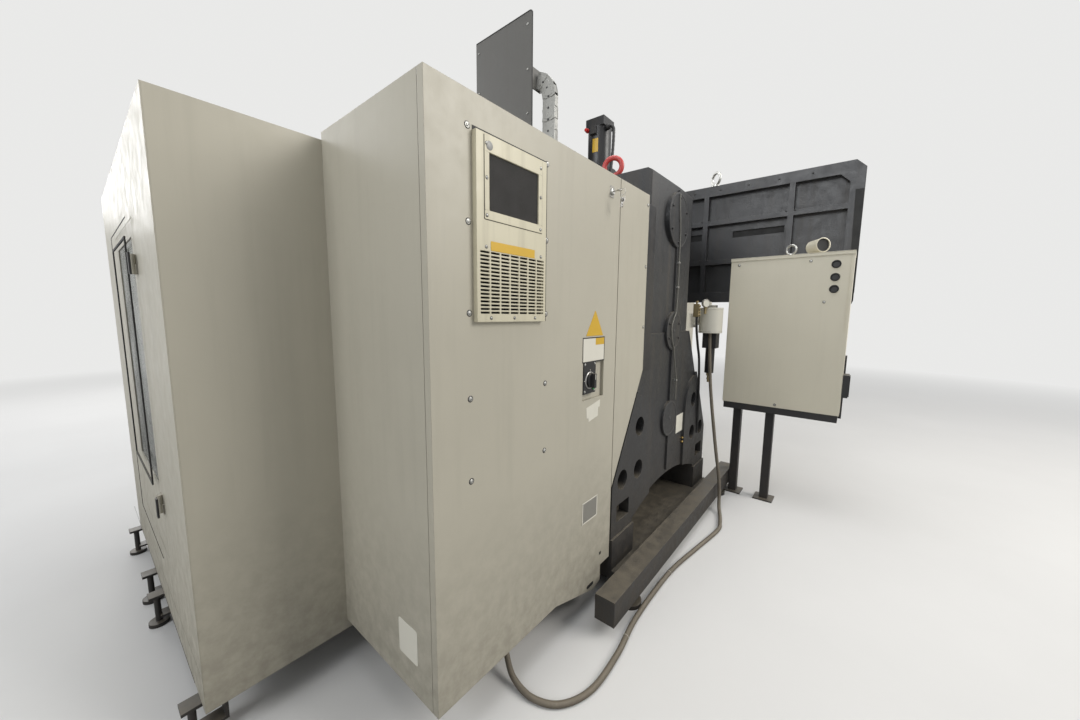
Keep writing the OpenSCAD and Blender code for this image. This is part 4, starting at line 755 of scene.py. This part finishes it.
def cooler():
    """Screws, fins, plain strip, badge and gasket of the cooling unit. The gasket strip is also
    painted shade of the gap at the bezel's edge, and the black back inside is painted shade.
    """
    low, high = COOLER
    front = high.y
    places = [(x, front + 2, z) for x in (COVER_X[0] + 9, COVER_X[1] - 9)
              for z in (COVER_Z[0] + 12, (COVER_Z[0] + COVER_Z[1]) / 2, COVER_Z[1] - 24)]
    places += [(x, front, low.z + 13) for x in (low.x + 60, (low.x + high.x) / 2, high.x - 60)]
    places += [(x, front, high.z - 342) for x in (low.x + 30, high.x - 40)]
    screws_in_place("cooler_screws", places, Y, 3.2, DOOR_SET)
    fins = [block((x, x + 0.8), (front - 60, front - 22), (low.z + 20, low.z + 232))
            for x in stepped(low.x + 22, high.x - 24, 5.5)]
    piece("cooler_fins", fins, DOOR_SET, "black_steel")
    # Black sheet deep inside the unit, behind the fins: painted shade of its inside
    back = block((low.x + 19, high.x - 19), (front - 64, front - 61), (low.z + 19, high.z - 19))
    piece("cooler_back_painted_shade", [back], DOOR_SET, "rubber")
    strip = sheet_of(rounded((low.x + 66, high.x - 59), (high.z - 352, high.z - 322), 2), 1, front,
                     front + 0.7)
    piece("plain_strip", [strip], DOOR_SET, "yellow")
    badge = turned([(14, 0), (14, 0.6), (13.4, 0.9)], (high.x - 54, front + 2, high.z - 34), Y, 32)
    piece("round_badge", [badge], DOOR_SET, "key_caps")
    # Rubber strip along the bezel's top and side: a gasket, and also painted shade of the gap under
    # the bezel's edge
    rim = [block((low.x - 25, high.x), (FACE_Y, FACE_Y + 0.8), (high.z, high.z + 14)),
           block((low.x - 25, low.x), (FACE_Y, FACE_Y + 0.8), (low.z, high.z))]
    piece("cooler_gasket_and_gap_shade", rim, DOOR_SET, "rubber")


# Column, head and cable carrier

# Height and radius of the column's round bosses, from the top
BOSSES = ((2137, 175), (1415, 130), (808, 125))


def column():
    """Plates, boss rims, bolts and hoses on the column."""
    face = FACE_Y - 3
    rims = []
    for z, r in BOSSES:
        rims.append(band([(r - 13, 0), (r - 13, 1.4), (r - 9, 2.2), (r - 5, 1.4), (r - 5, 0)],
                         (0, face, z), Y, 60))
        rims.append(turned([(12, 0), (12, 1.6), (9, 2.4)], (0, face, z), Y, 24))
    piece("boss_rims", rims, ROOT, "filler")
    bolts = []
    for z, r in BOSSES[:2]:
        for point in arc((0, 0, z), r - 34, 30, 330, 5):
            bolts += hex_bolt((point.y, face, point.z), Y, 7)
    piece("boss_bolts", bolts, ROOT, "black_steel", 0.4)
    plate_on_face("column_plate", (-352, -172), (650, 786), 1.2, "paper", 5, 865.5, ROOT)
    # Thin tube down the middle of the column, round the lower boss
    tube_y = FACE_Y + 4
    route = [(24, 2296), (22, 2230), (-4, 2090), (-10, 1982), (-11, 1588), (30, 1500), (62, 1440),
             (40, 1350), (2, 1284), (-40, 1150), (-66, 1068), (-70, 930)]
    line = curve_through([(x, tube_y, z) for x, z in route], 8)
    piece("column_tube", [swept(line, 4, 10)], ROOT, "old_tube")
    clips = [block((x - 10, x + 10), (tube_y - 26, tube_y + 7), (z, z + 12))
             for x, z in ((-10, 1860), (-11, 1700), (-66, 1062))]
    piece("tube_clips", clips, ROOT, "zinc_plate", 0.8)
    knobs = [turned([(6, 0), (6, 6), (9, 7), (9, 16), (6, 19)], (-300, 862, z), Y, 20)
             for z in (560, 590)]
    piece("drain_knobs", knobs, ROOT, "brass")


def head_covers():
    """Screws of the head's covers and the rubber edge of the flat one."""
    low, high = GREY_COVER
    side = high.x
    wire = 4
    corner = 30
    y, z = high.y - wire, high.z - wire
    edge = [Vector((side - 1, y, low.z + 2)), Vector((side - 1, y, z - corner))]
    edge += arc((side - 1, y - corner, z - corner), corner, 8, 82, 6)
    edge += [Vector((side - 1, y - corner, z)), Vector((side - 1, low.y + 4, z))]
    piece("cover_rubber_edge", [swept(edge, wire, 8)], HEAD_SET, "rubber")
    places = []
    for y in (low.y + 30, high.y - 46):
        places += [(side, y, z) for z in range(int(low.z) + 60, int(high.z) - 60, 290)]
    screws_in_place("cover_screws", places, X, 5, HEAD_SET)
    low, high = WHITE_COVER
    levels = range(int(low.z) + 70, int(high.z), 330)
    for y in (low.y + 30, high.y - 30):
        for name, x, way in (("screws", high.x, 1), ("left_screws", low.x, -1)):
            screws_in_place(f"white_cover_{name}_{int(-y)}", [(x, y, z) for z in levels],
                            (way, 0, 0), 5, HEAD_SET)
    front = [(x, low.y, z) for x in (low.x + 30, high.x - 30) for z in levels]
    screws_in_place("white_cover_front_screws", front, (0, -1, 0), 5, HEAD_SET)


CARRIER_MID_Y = 50
CARRIER_FOOT_Z = 2642
CARRIER_TURN_Z = 3020
CARRIER_TURN_R = 140
CARRIER_REACH = 59
CARRIER_LINKS = 5
CARRIER_CURVED_LINKS = 3


def carrier_line():
    """Joints of the carrier: a point and the direction to its outer side for each."""
    joints = []
    for k in range(CARRIER_LINKS):
        z = CARRIER_FOOT_Z + (CARRIER_TURN_Z - CARRIER_FOOT_Z) * k / CARRIER_LINKS
        joints.append((Vector((0, CARRIER_MID_Y, z)), Vector(Y)))
    centre = Vector((0, CARRIER_MID_Y - CARRIER_TURN_R, CARRIER_TURN_Z))
    last = math.acos((CARRIER[0].y + 2 - centre.y) / CARRIER_TURN_R)
    for k in range(CARRIER_CURVED_LINKS + 1):
        angle = last * k / CARRIER_CURVED_LINKS
        out = Vector((0, math.cos(angle), math.sin(angle)))
        joints.append((centre + out * CARRIER_TURN_R, out))
    return joints


def link_outline(first, second, outer, inner):
    """Outline of one side plate between two joints, waisted on its inner edge."""
    (a, out_a), (b, out_b) = first, second
    out = (out_a + out_b).normalized()
    middle = (a + b) / 2
    ahead = (b - a).normalized()
    lap = 8
    points = [a - ahead * lap + out_a * outer * 0.55, a + out_a * outer, middle + out * (outer + 1),
              b + out_b * outer, b + ahead * lap + out_b * outer * 0.55,
              b + ahead * lap - out_b * inner * 0.5, b - out_b * inner, middle - out * (inner - 7),
              a - out_a * inner, a - ahead * lap - out_a * inner * 0.5]
    return flat(points)


def carrier_links(joints):
    """Side plates, lids and rivets between the joints."""
    low, high = CARRIER
    steps = list(zip(joints, joints[1:]))
    links, rivets, lids = [], [], []
    for i, ((a, out_a), (b, out_b)) in enumerate(steps):
        inset = 2 if i % 2 else 6
        ahead = (b - a).normalized()
        start = a if i else a + Vector((0, 0, 8))
        end = b - ahead * 10 if i == len(steps) - 1 else b
        shape = link_outline((start, out_a), (end, out_b), CARRIER_REACH - 3, CARRIER_REACH - 4)
        links.append(sheet_of(shape, 0, high.x - inset - 3.6, high.x - inset))
        links.append(sheet_of(shape, 0, low.x + inset, low.x + inset + 3.6))
        raised = link_outline((start.lerp(end, 0.2), out_a), (start.lerp(end, 0.8), out_b), 34, 30)
        links.append(sheet_of(raised, 0, high.x - inset, high.x - inset + 1.4))
        middle = (a + b) / 2
        out = (out_a + out_b).normalized()
        half = (b - a).length / 2 - 2
        for reach in (CARRIER_REACH - 6, 6 - CARRIER_REACH):
            lid = [middle + out * (reach + thick) + ahead * half * way for thick, way in
                   ((-2, -1), (2, -1), (2, 1), (-2, 1))]
            lids.append(sheet_of(flat(lid), 0, low.x + 8, high.x - 8))
        if i:
            for x, way in ((high.x - 2.4, 1), (low.x + 2.4, -1)):
                rivets.append(turned([(8, 0), (8, 1.4), (5, 2)], (x, a.y, a.z), (way, 0, 0), 20))
    return links + lids, rivets


def carrier_foot():
    """Angle plate that bolts the carrier to the column."""
    low, high = CARRIER
    x = (low.x, high.x)
    thick = 12
    foot = [block(x, (high.y - thick, high.y), (low.z, CARRIER_FOOT_Z - thick)),
            block(x, (low.y + 47, high.y), (CARRIER_FOOT_Z - thick, CARRIER_FOOT_Z))]
    for z in (low.z + 50, low.z + 170):
        foot += hex_bolt((middle_of(CARRIER).x, high.y - thick, z), (0, -1, 0), 9)
    return foot


def cable_carrier():
    """The carrier goes up from the column, over and into the head."""
    joints = carrier_line()
    links, rivets = carrier_links(joints)
    chain = piece("cable_carrier", links + carrier_foot(), None, "silver_chain", 0.6)
    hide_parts("head_conduit")
    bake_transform(chain)
    pins = piece("carrier_rivets", rivets, None, "black_steel")
    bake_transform(pins)
    for name, shift, radius, finish in (("carrier_pale_cable", -24, 9, "pale_tube"),
                                        ("carrier_black_cable", 2, 8, "rubber"),
                                        ("carrier_power_cable", 26, 9, "rubber")):
        across = Vector((middle_of(CARRIER).x, 0, 0))
        line = curve_through([p + out * shift + across for p, out in joints], 5)
        line[0].z += 2
        cable = piece(name, [swept(line, radius, 10)], None, finish)
        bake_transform(cable)


def z_motor():
    """End cap, plugs, plain label and conduit of the Z axis motor."""
    y, cap_z = 256, 2922
    half = 84
    ring = band([(52, 0), (56, 0), (56, 4), (52, 4)], (0, y, cap_z), Z, 48)
    piece("z_motor_cap_ring", [ring], ROOT, "bare_steel")
    cap = turned([(51, 0), (50, 3), (40, 6), (12, 7)], (0, y, cap_z), Z, 48)
    piece("z_motor_cap", [cap], ROOT, "black_plastic")
    bend = flat(arc((0, 0, 0), half, -6, 24, 6))
    skin = [(a * 1.008, y + b * 1.008) for a, b in bend] + [(a, y + b) for a, b in reversed(bend)]
    piece("z_motor_label", [sheet_of(skin, 2, 2685, 2778)], ROOT, "yellow")
    plug = turned([(15, 0), (15, 12), (12, 14), (12, 30), (9, 32)], (half, y - 50, 2842), X, 24)
    piece("z_motor_red_plug", [plug], ROOT, "red_plastic", 0.5)
    rear = y + half
    socket = turned([(21, 0), (21, 14), (18, 16), (18, 26)], (40, rear - 1, 2850), Y, 28)
    piece("z_motor_socket", [socket], ROOT, "black_plastic", 0.6)
    route = [(40, 12, 2850), (40, 30, 2850), (40, 48, 2836), (40, 54, 2806), (41, 52, 2700),
             (44, 44, 2580), (50, 34, 2480), (56, 28, 2392)]
    line = curve_through([(x, rear + out, z) for x, out, z in route], 8)
    radii = [11 if i % 2 else 9.8 for i in range(len(line))]
    piece("z_motor_conduit", [swept(line, radii, 14)], ROOT, "black_plastic")


# Magazine, chiller and lubrication unit

def magazine():
    """Bolts, eyebolt, dark rear strip and painted shade in the slots of the magazine's frame."""
    high = MAGAZINE[1]
    inner = -1107
    bolts = []
    for y in (1355, 708, 60):
        for z in (2354, 2012):
            for dy in (-30, 30):
                bolts += hex_bolt((inner, y + dy, z), X, 5)
    for y in range(-500, 1700, 220):
        bolts += hex_bolt((inner, y, high.z - 40), X, 6)
    piece("frame_bolts", bolts, ROOT, "black_steel", 0.5)
    eye = eyebolt((-1140, 768, high.z - 1), 50, 12, 54)
    piece("frame_eyebolt", eye, ROOT, "zinc_plate")
    outline = [(1748, 2440), (high.y - 1, 2440), (high.y - 1, 1640), (1776, 1572), (1764, 1586)]
    piece("frame_rear_strip", [sheet_of(outline, 0, inner, inner + 4)], ROOT, "rubber", 0.8)
    # Black sheets inside the two slots, flush with the back of the web: painted shade behind the
    # slots
    slot_shade_sheets = []
    slot_z = (2200, 2254)
    for slot_y in ((280, 668), (928, 1315)):
        slot_shade_sheets += frame_of(slot_y, slot_z, 5, 0, inner - 66, inner - 61)
        slot_shade_sheets.append(block((inner - 70, inner - 66), slot_y, slot_z))
    piece("frame_slot_painted_shade", slot_shade_sheets, ROOT, "rubber")


def chiller():
    """Folded trim, screws, grommets, eyebolt, hose stub and box of the chiller."""
    low, high = CHILLER
    face = high.x
    trim = 2.0
    lid = [block((face - 1, face + trim), (low.y, high.y), (high.z - 26, high.z - 23.6)),
           block((face - 30, face + trim), (low.y, high.y), (high.z - 2, high.z + 0.6)),
           block((face - 1, face + trim), (high.y - 22, high.y - 19.6), (high.z - 560, high.z - 26))]
    piece("chiller_lid_edge", lid, ROOT, "cream_paint", 0.6)
    places = [(face, y, z) for y, z in ((1075, 1917), (1543, 1916), (1641, 1623), (1393, 837))]
    screws_in_place("chiller_screws", places, X, 5, ROOT)
    lips = [(19.5, -4), (19.5, 4), (23, 6), (27, 4), (28, 0), (28, -1)]
    entry_y, entries = 1691, (1884, 1795, 1713)
    rings = [band(lips, (face, entry_y, z), X, 36) for z in entries]
    # Black discs a little inside the three holes: painted shade of their insides
    holes = [turned([(20, 0), (20, 2)], (face - 8, entry_y, z), X, 32) for z in entries]
    piece("chiller_grommets", rings, ROOT, "rubber")
    piece("chiller_hole_shade", holes, ROOT, "black_plastic")
    eye = eyebolt(((low.x + face) / 2 + 60, 1407, high.z - 1), 34, 8, 70)
    piece("chiller_eyebolt", eye, ROOT, "zinc_plate")
    # Stub of the air duct on the roof; a black disc in its open end is painted shade
    aim = Vector((0.78, 0.62, 0.03)).normalized()
    root = Vector((-990, 1530, high.z + 60))
    tube = band([(44, 0), (50, 0), (50, 112), (53, 114), (46, 116)], root, aim, 44)
    saddle = block((root.x + 10, root.x + 50), (root.y + 5, root.y + 45), (high.z - 1, root.z - 20))
    piece("chiller_duct_stub", [tube, saddle], ROOT, "cream_paint", 0.6)
    # Black disc just inside the open end: painted shade of the duct's inside
    mouth = turned([(47, 0), (47, 3)], root + aim * 104, aim, 44)
    piece("chiller_duct_shade", [mouth], ROOT, "rubber")
    box = [block((face - 120, face - 6), (high.y - 1, high.y + 34), (950, 1112)),
           block((face - 112, face - 14), (high.y + 34, high.y + 40), (958, 1104))]
    piece("chiller_rear_box", box, ROOT, "black_plastic", 2)


def reservoir():
    """Ribs, cap and filler of the lubrication unit's reservoir."""
    centre = Vector((-588, 949, 0))
    ribs = [band([(85.2, 0), (86.4, 2), (86.4, 4), (85.2, 6)], (centre.x, centre.y, z), Z, 56)
            for z in (1396, 1566)]
    piece("reservoir_ribs", ribs, ROOT, "white_plastic")
    teeth = [turned([(2.2, 0), (2.2, 17)], centre + Vector((40.5 * c, 40.5 * s, 1582)), Z, 8)
             for c, s in circle(28)]
    piece("reservoir_cap_grips", teeth, ROOT, "black_plastic")
    cap = turned([(20, 0), (20, 40), (17, 44)], (-672, 905, 1585), Z, 28)
    piece("reservoir_filler", [cap], ROOT, "white_plastic", 0.6)


def pressure_gauge():
    """Gauge on its stem, facing the rear right."""
    gauge_at = Vector((-500, 922, 1612))
    facing = (0.62, 0.78, 0)
    case = turned([(28, 0), (31, 3), (31, 22), (28, 26), (28, 22)], gauge_at, facing, 36)
    piece("pressure_gauge", [case], ROOT, "name_plate", 0.4)
    dial_at = gauge_at + Vector(facing).normalized() * 22
    dial = turned([(27.5, 0), (27.5, 0.8)], dial_at, facing, 36)
    piece("gauge_dial", [dial], ROOT, "paper")
    stem = [turned([(9, 0), (9, 60)], gauge_at + Vector((6, 8, -80)), Z, 20),
            turned([(14, 0), (14, 16)], gauge_at + Vector((6, 8, -40)), Z, 6)]
    piece("gauge_stem", stem, ROOT, "dull_brass", 0.5)


def lubrication_lines():
    """Metering block, hose, shelf and pump under the reservoir."""
    block_at = Vector((-383, 905, 1509))
    fittings = [block((block_at.x - 12, block_at.x + 12), (880, 920), (block_at.z, block_at.z + 96))]
    for k in range(4):
        fittings += hex_bolt(block_at + Vector((0, 15, 14 + 22 * k)), Y, 8)
    top = block_at + Vector((0, -4, 94))
    fittings.append(turned([(8, 0), (8, 14), (11, 14), (11, 24)], top, Z, 20))
    piece("metering_block", fittings, ROOT, "dull_brass", 0.5)
    hose = curve_through([(-383, 905, 1512), (-384, 905, 1480), (-400, 905, 1400), (-455, 902, 1290),
                          (-520, 898, 1180), (-562, 894, 1000), (-590, 890, 800), (-604, 888, 640),
                          (-608, 884, 560)], 8)
    piece("lube_hose", [swept(hose, 9, 12)], ROOT, "rubber")
    shelf = block((-700, -606), (888, 992), (1262, 1386))
    piece("lube_shelf", [shelf], ROOT, "black_steel", 3)
    at = Vector((-646, 942, 1062))
    pump = turned([(33, 0), (34, 3), (34, 196), (31, 201)], at, Z, 40)
    piece("lube_pump", [pump], ROOT, "black_plastic", 0.6)
    stack = [turned([(20, -24), (20, 0), (24, 0), (24, 6), (20, 6)], at, Z, 6)]
    for dx in (-14, 14):
        stack.append(turned([(8, -74), (8, -52), (12, -52), (12, -40), (9, -38), (9, -22)],
                            at + Vector((dx, 0, 0)), Z, 16))
    piece("lube_pump_fittings", stack, ROOT, "dull_brass", 0.4)


# Enclosure

def enclosure_side():
    """Hinge covers, door gap, window gasket and seam on the right-hand side."""
    low, high = SIDE_DOOR
    face = HALF_W
    gap = frame_of((low.y - 3, high.y - 24), (low.z - 3, high.z + 3), 3, 0, face - 3.2, face - 1.4)
    piece("side_door_gap", gap[:3], ROOT, "rubber")
    gasket = frame_of((-942, -358), (803, 1801), 9, 0, face - 3, face + 2.2)
    piece("side_window_gasket", gasket, "side_door_set", "rubber", 0.8)
    covers = []
    for z in (740, 1691):
        covers.append(block((face - 0.5, face + 6), (high.y + 12, high.y + 40), (z - 40, z + 40)))
    piece("side_hinge_covers", covers, ROOT, "black_plastic", 1.5)
    seam = block((face - 0.4, face + 0.3), (FRONT[0].y + 40, ENCLOSURE[1].y - 4), (289, 291.5))
    piece("skirt_seam", [seam], ROOT, "rubber")


def enclosure_front():
    """Window gaskets and screws on the operator's side."""
    for name in ("right", "left"):
        low, high = corners(f"front_door_{name}")
        body = f"front_door_{name}_set"
        stile = 145
        x = (low.x + stile, high.x - stile)
        z = (low.z + stile + 60, high.z - stile)
        plane = corners(f"front_window_{name}")[0].y - 1.5
        piece(f"front_gasket_{name}", frame_of(x, z, 10, 1, plane - 3.5, plane), body, "rubber", 1)
    places = [(x, FRONT[0].y, z) for x in (-2330, -2150, 2330, 2150) for z in (300, 1200, 2080)]
    screws_in_place("front_screws", places, (0, -1, 0), 6, ROOT)


def pendant():
    """Screen and blank keys of the control pendant."""
    low = PENDANT[0]
    face = low.y
    screen_x = (low.x + 60, low.x + 440)
    screen_z = (low.z + 420, low.z + 700)
    inside = [(a + 16, b - 16) for a, b in (screen_x, screen_z)]
    glass = sheet_of(rounded(*inside, 6), 1, face + 2.6, face + 4)
    piece("pendant_screen", [glass], PENDANT_SET, "screen", 0.4)
    bezel = frame_of(screen_x, screen_z, 15, 1, face + 0.4, face + 4)
    piece("pendant_bezel", bezel, PENDANT_SET, "black_plastic", 1)
    key_y = (face - 3, face + 0.3)
    blank = []
    for z in [low.z + 236 + row * 33 for row in range(5)]:
        blank += [block((x, x + 25), key_y, (z, z + 26))
                  for x in [low.x + 66 + k * 31 for k in range(12)]]
    piece("pendant_keys", blank, PENDANT_SET, "key_caps", 1.4)
    soft = [block((x, x + 38), key_y, (screen_z[0] - 20, screen_z[0] - 4))
            for x in [low.x + 62 + k * 47.6 for k in range(8)]]
    piece("pendant_soft_keys", soft, PENDANT_SET, "key_caps", 1.4)


def pendant_controls():
    """Rings and marks of the emergency stop, the feed knob and the handwheel."""
    face = PENDANT[0].y
    stop = corners("estop_button")
    centre = middle_of(stop)
    hole = stop[1].x - centre.x + 1
    ring = band([(hole, 0), (34, 0), (34, 1.6), (hole, 1.6)], (centre.x, face, centre.z),
                (0, -1, 0), 48)
    piece("estop_yellow_ring", [ring], PENDANT_SET, "yellow", 0.3)
    knob = corners("feed_knob")
    knob_at = middle_of(knob)
    ticks = marks_round(knob_at, (face - 0.6, face + 0.1), 0.8, (23, 29), range(-120, 121, 20))
    piece("feed_ticks", ticks, PENDANT_SET, "paper")
    pointer = block((knob_at.x - 0.9, knob_at.x + 0.9), (knob[0].y - 0.4, knob[0].y + 0.3),
                    (knob_at.z + 3, knob_at.z + 15))
    piece("feed_pointer", [pointer], "feed_knob_set", "paper")
    wheel = corners("handwheel")
    radius = (wheel[1].x - wheel[0].x) / 2
    marks = marks_round(middle_of(wheel), (face - 20.5, face - 19.9), 0.5, (radius - 7, radius - 2),
                        [7.2 * k for k in range(50)])
    piece("handwheel_marks", marks, "handwheel_set", "paper")


def add_all():
    """Adds the trim of every sub-part."""
    for add in (door_fasteners, cabinet_sides, door_labels, cabinet_seams, keys, isolator,
                cooler_filter, cooler, column, head_covers, cable_carrier, z_motor, magazine,
                chiller, reservoir, pressure_gauge, lubrication_lines, enclosure_side,
                enclosure_front, pendant, pendant_controls):
        add()


# Floor, backdrop and light

BACKDROP = (0.88, 0.88, 0.87)
BACKDROP_LEVEL = 0.93
FLOOR_SEEN = (0.66, 0.656, 0.646)
FLOOR_AROUND = (0.38, 0.375, 0.36)
# The floor fades into the backdrop between these distances, in metres
FADE = (4.5, 13)


def add_floor():
    """A pale floor that fades into the backdrop far from the part."""
    mesh = bpy.data.meshes.new("floor")
    size = 60
    mesh.from_pydata([(-size, -size, 0), (size, -size, 0), (size, size, 0), (-size, size, 0)], [],
                     [(0, 1, 2, 3)])
    floor = new_object("floor", mesh)
    material, tree, where = new_material("floor")
    tone = remap(tree, noise(tree, where, 0.8, 5), 0.3, 0.7, 0.97, 1.02)
    seen = node(tree, "LightPath").outputs["Is Camera Ray"]
    paint = mix(tree, seen, rgba(FLOOR_AROUND), rgba(FLOOR_SEEN))
    colour = mix(tree, 1.0, paint, tone, "MULTIPLY")
    shader = node(tree, "BsdfPrincipled", {"Base Color": colour, "Roughness": 0.8,
                                           "Specular IOR Level": 0.1})
    glow = node(tree, "Emission", {"Color": rgba(BACKDROP), "Strength": BACKDROP_LEVEL})
    far = node(tree, "VectorMath", {0: where}, operation="LENGTH").outputs["Value"]
    fade = remap(tree, far, *FADE)
    both = node(tree, "MixShader", {0: fade, 1: shader.outputs[0], 2: glow.outputs[0]})
    end_tree(tree, both)
    mesh.materials.append(material)


def add_lamp(name, at, aim, size, power, colour=(1, 1, 1)):
    """A square lamp in metres and watts, turned towards a point."""
    data = bpy.data.lights.new(name, "AREA")
    data.shape = "SQUARE"
    data.size = size
    data.energy = power
    data.color = colour
    lamp = new_object(name, data)
    lamp.location = at
    lamp.rotation_euler = (Vector(aim) - Vector(at)).to_track_quat("-Z", "Y").to_euler()


def add_light():
    world = bpy.data.worlds.new("world")
    bpy.context.scene.world = world
    world.use_nodes = True
    tree = world.node_tree
    tree.nodes.clear()
    path = node(tree, "LightPath")
    seen = largest(tree, path.outputs["Is Camera Ray"], path.outputs["Is Glossy Ray"])
    seen = largest(tree, seen, path.outputs["Is Transmission Ray"])
    soft = node(tree, "Background", {"Color": (0.95, 0.97, 1.0, 1), "Strength": 0.34})
    pale = node(tree, "Background", {"Color": rgba(BACKDROP), "Strength": BACKDROP_LEVEL})
    both = node(tree, "MixShader", {0: seen, 1: soft.outputs[0], 2: pale.outputs[0]})
    end_tree(tree, both, "OutputWorld")
    add_lamp("key", (-2.5, 7.5, 6.0), (0.6, 0.5, 1.3), 4.5, 560, (1.0, 0.97, 0.92))
    add_lamp("side", (9.0, 0.5, 5.5), (1.5, 0, 1.2), 4.0, 270, (0.96, 0.98, 1.0))
    add_lamp("front", (2.0, -9.0, 5.5), (0, 0, 1.2), 5.0, 430)
    add_lamp("above", (0.5, 0.5, 8.0), Z, 5.0, 260)


def set_view():
    bpy.context.scene.view_settings.view_transform = "Standard"


add_camera()
add_cable()
add_floor()
add_light()
set_view()
dress_nodes()
add_all()
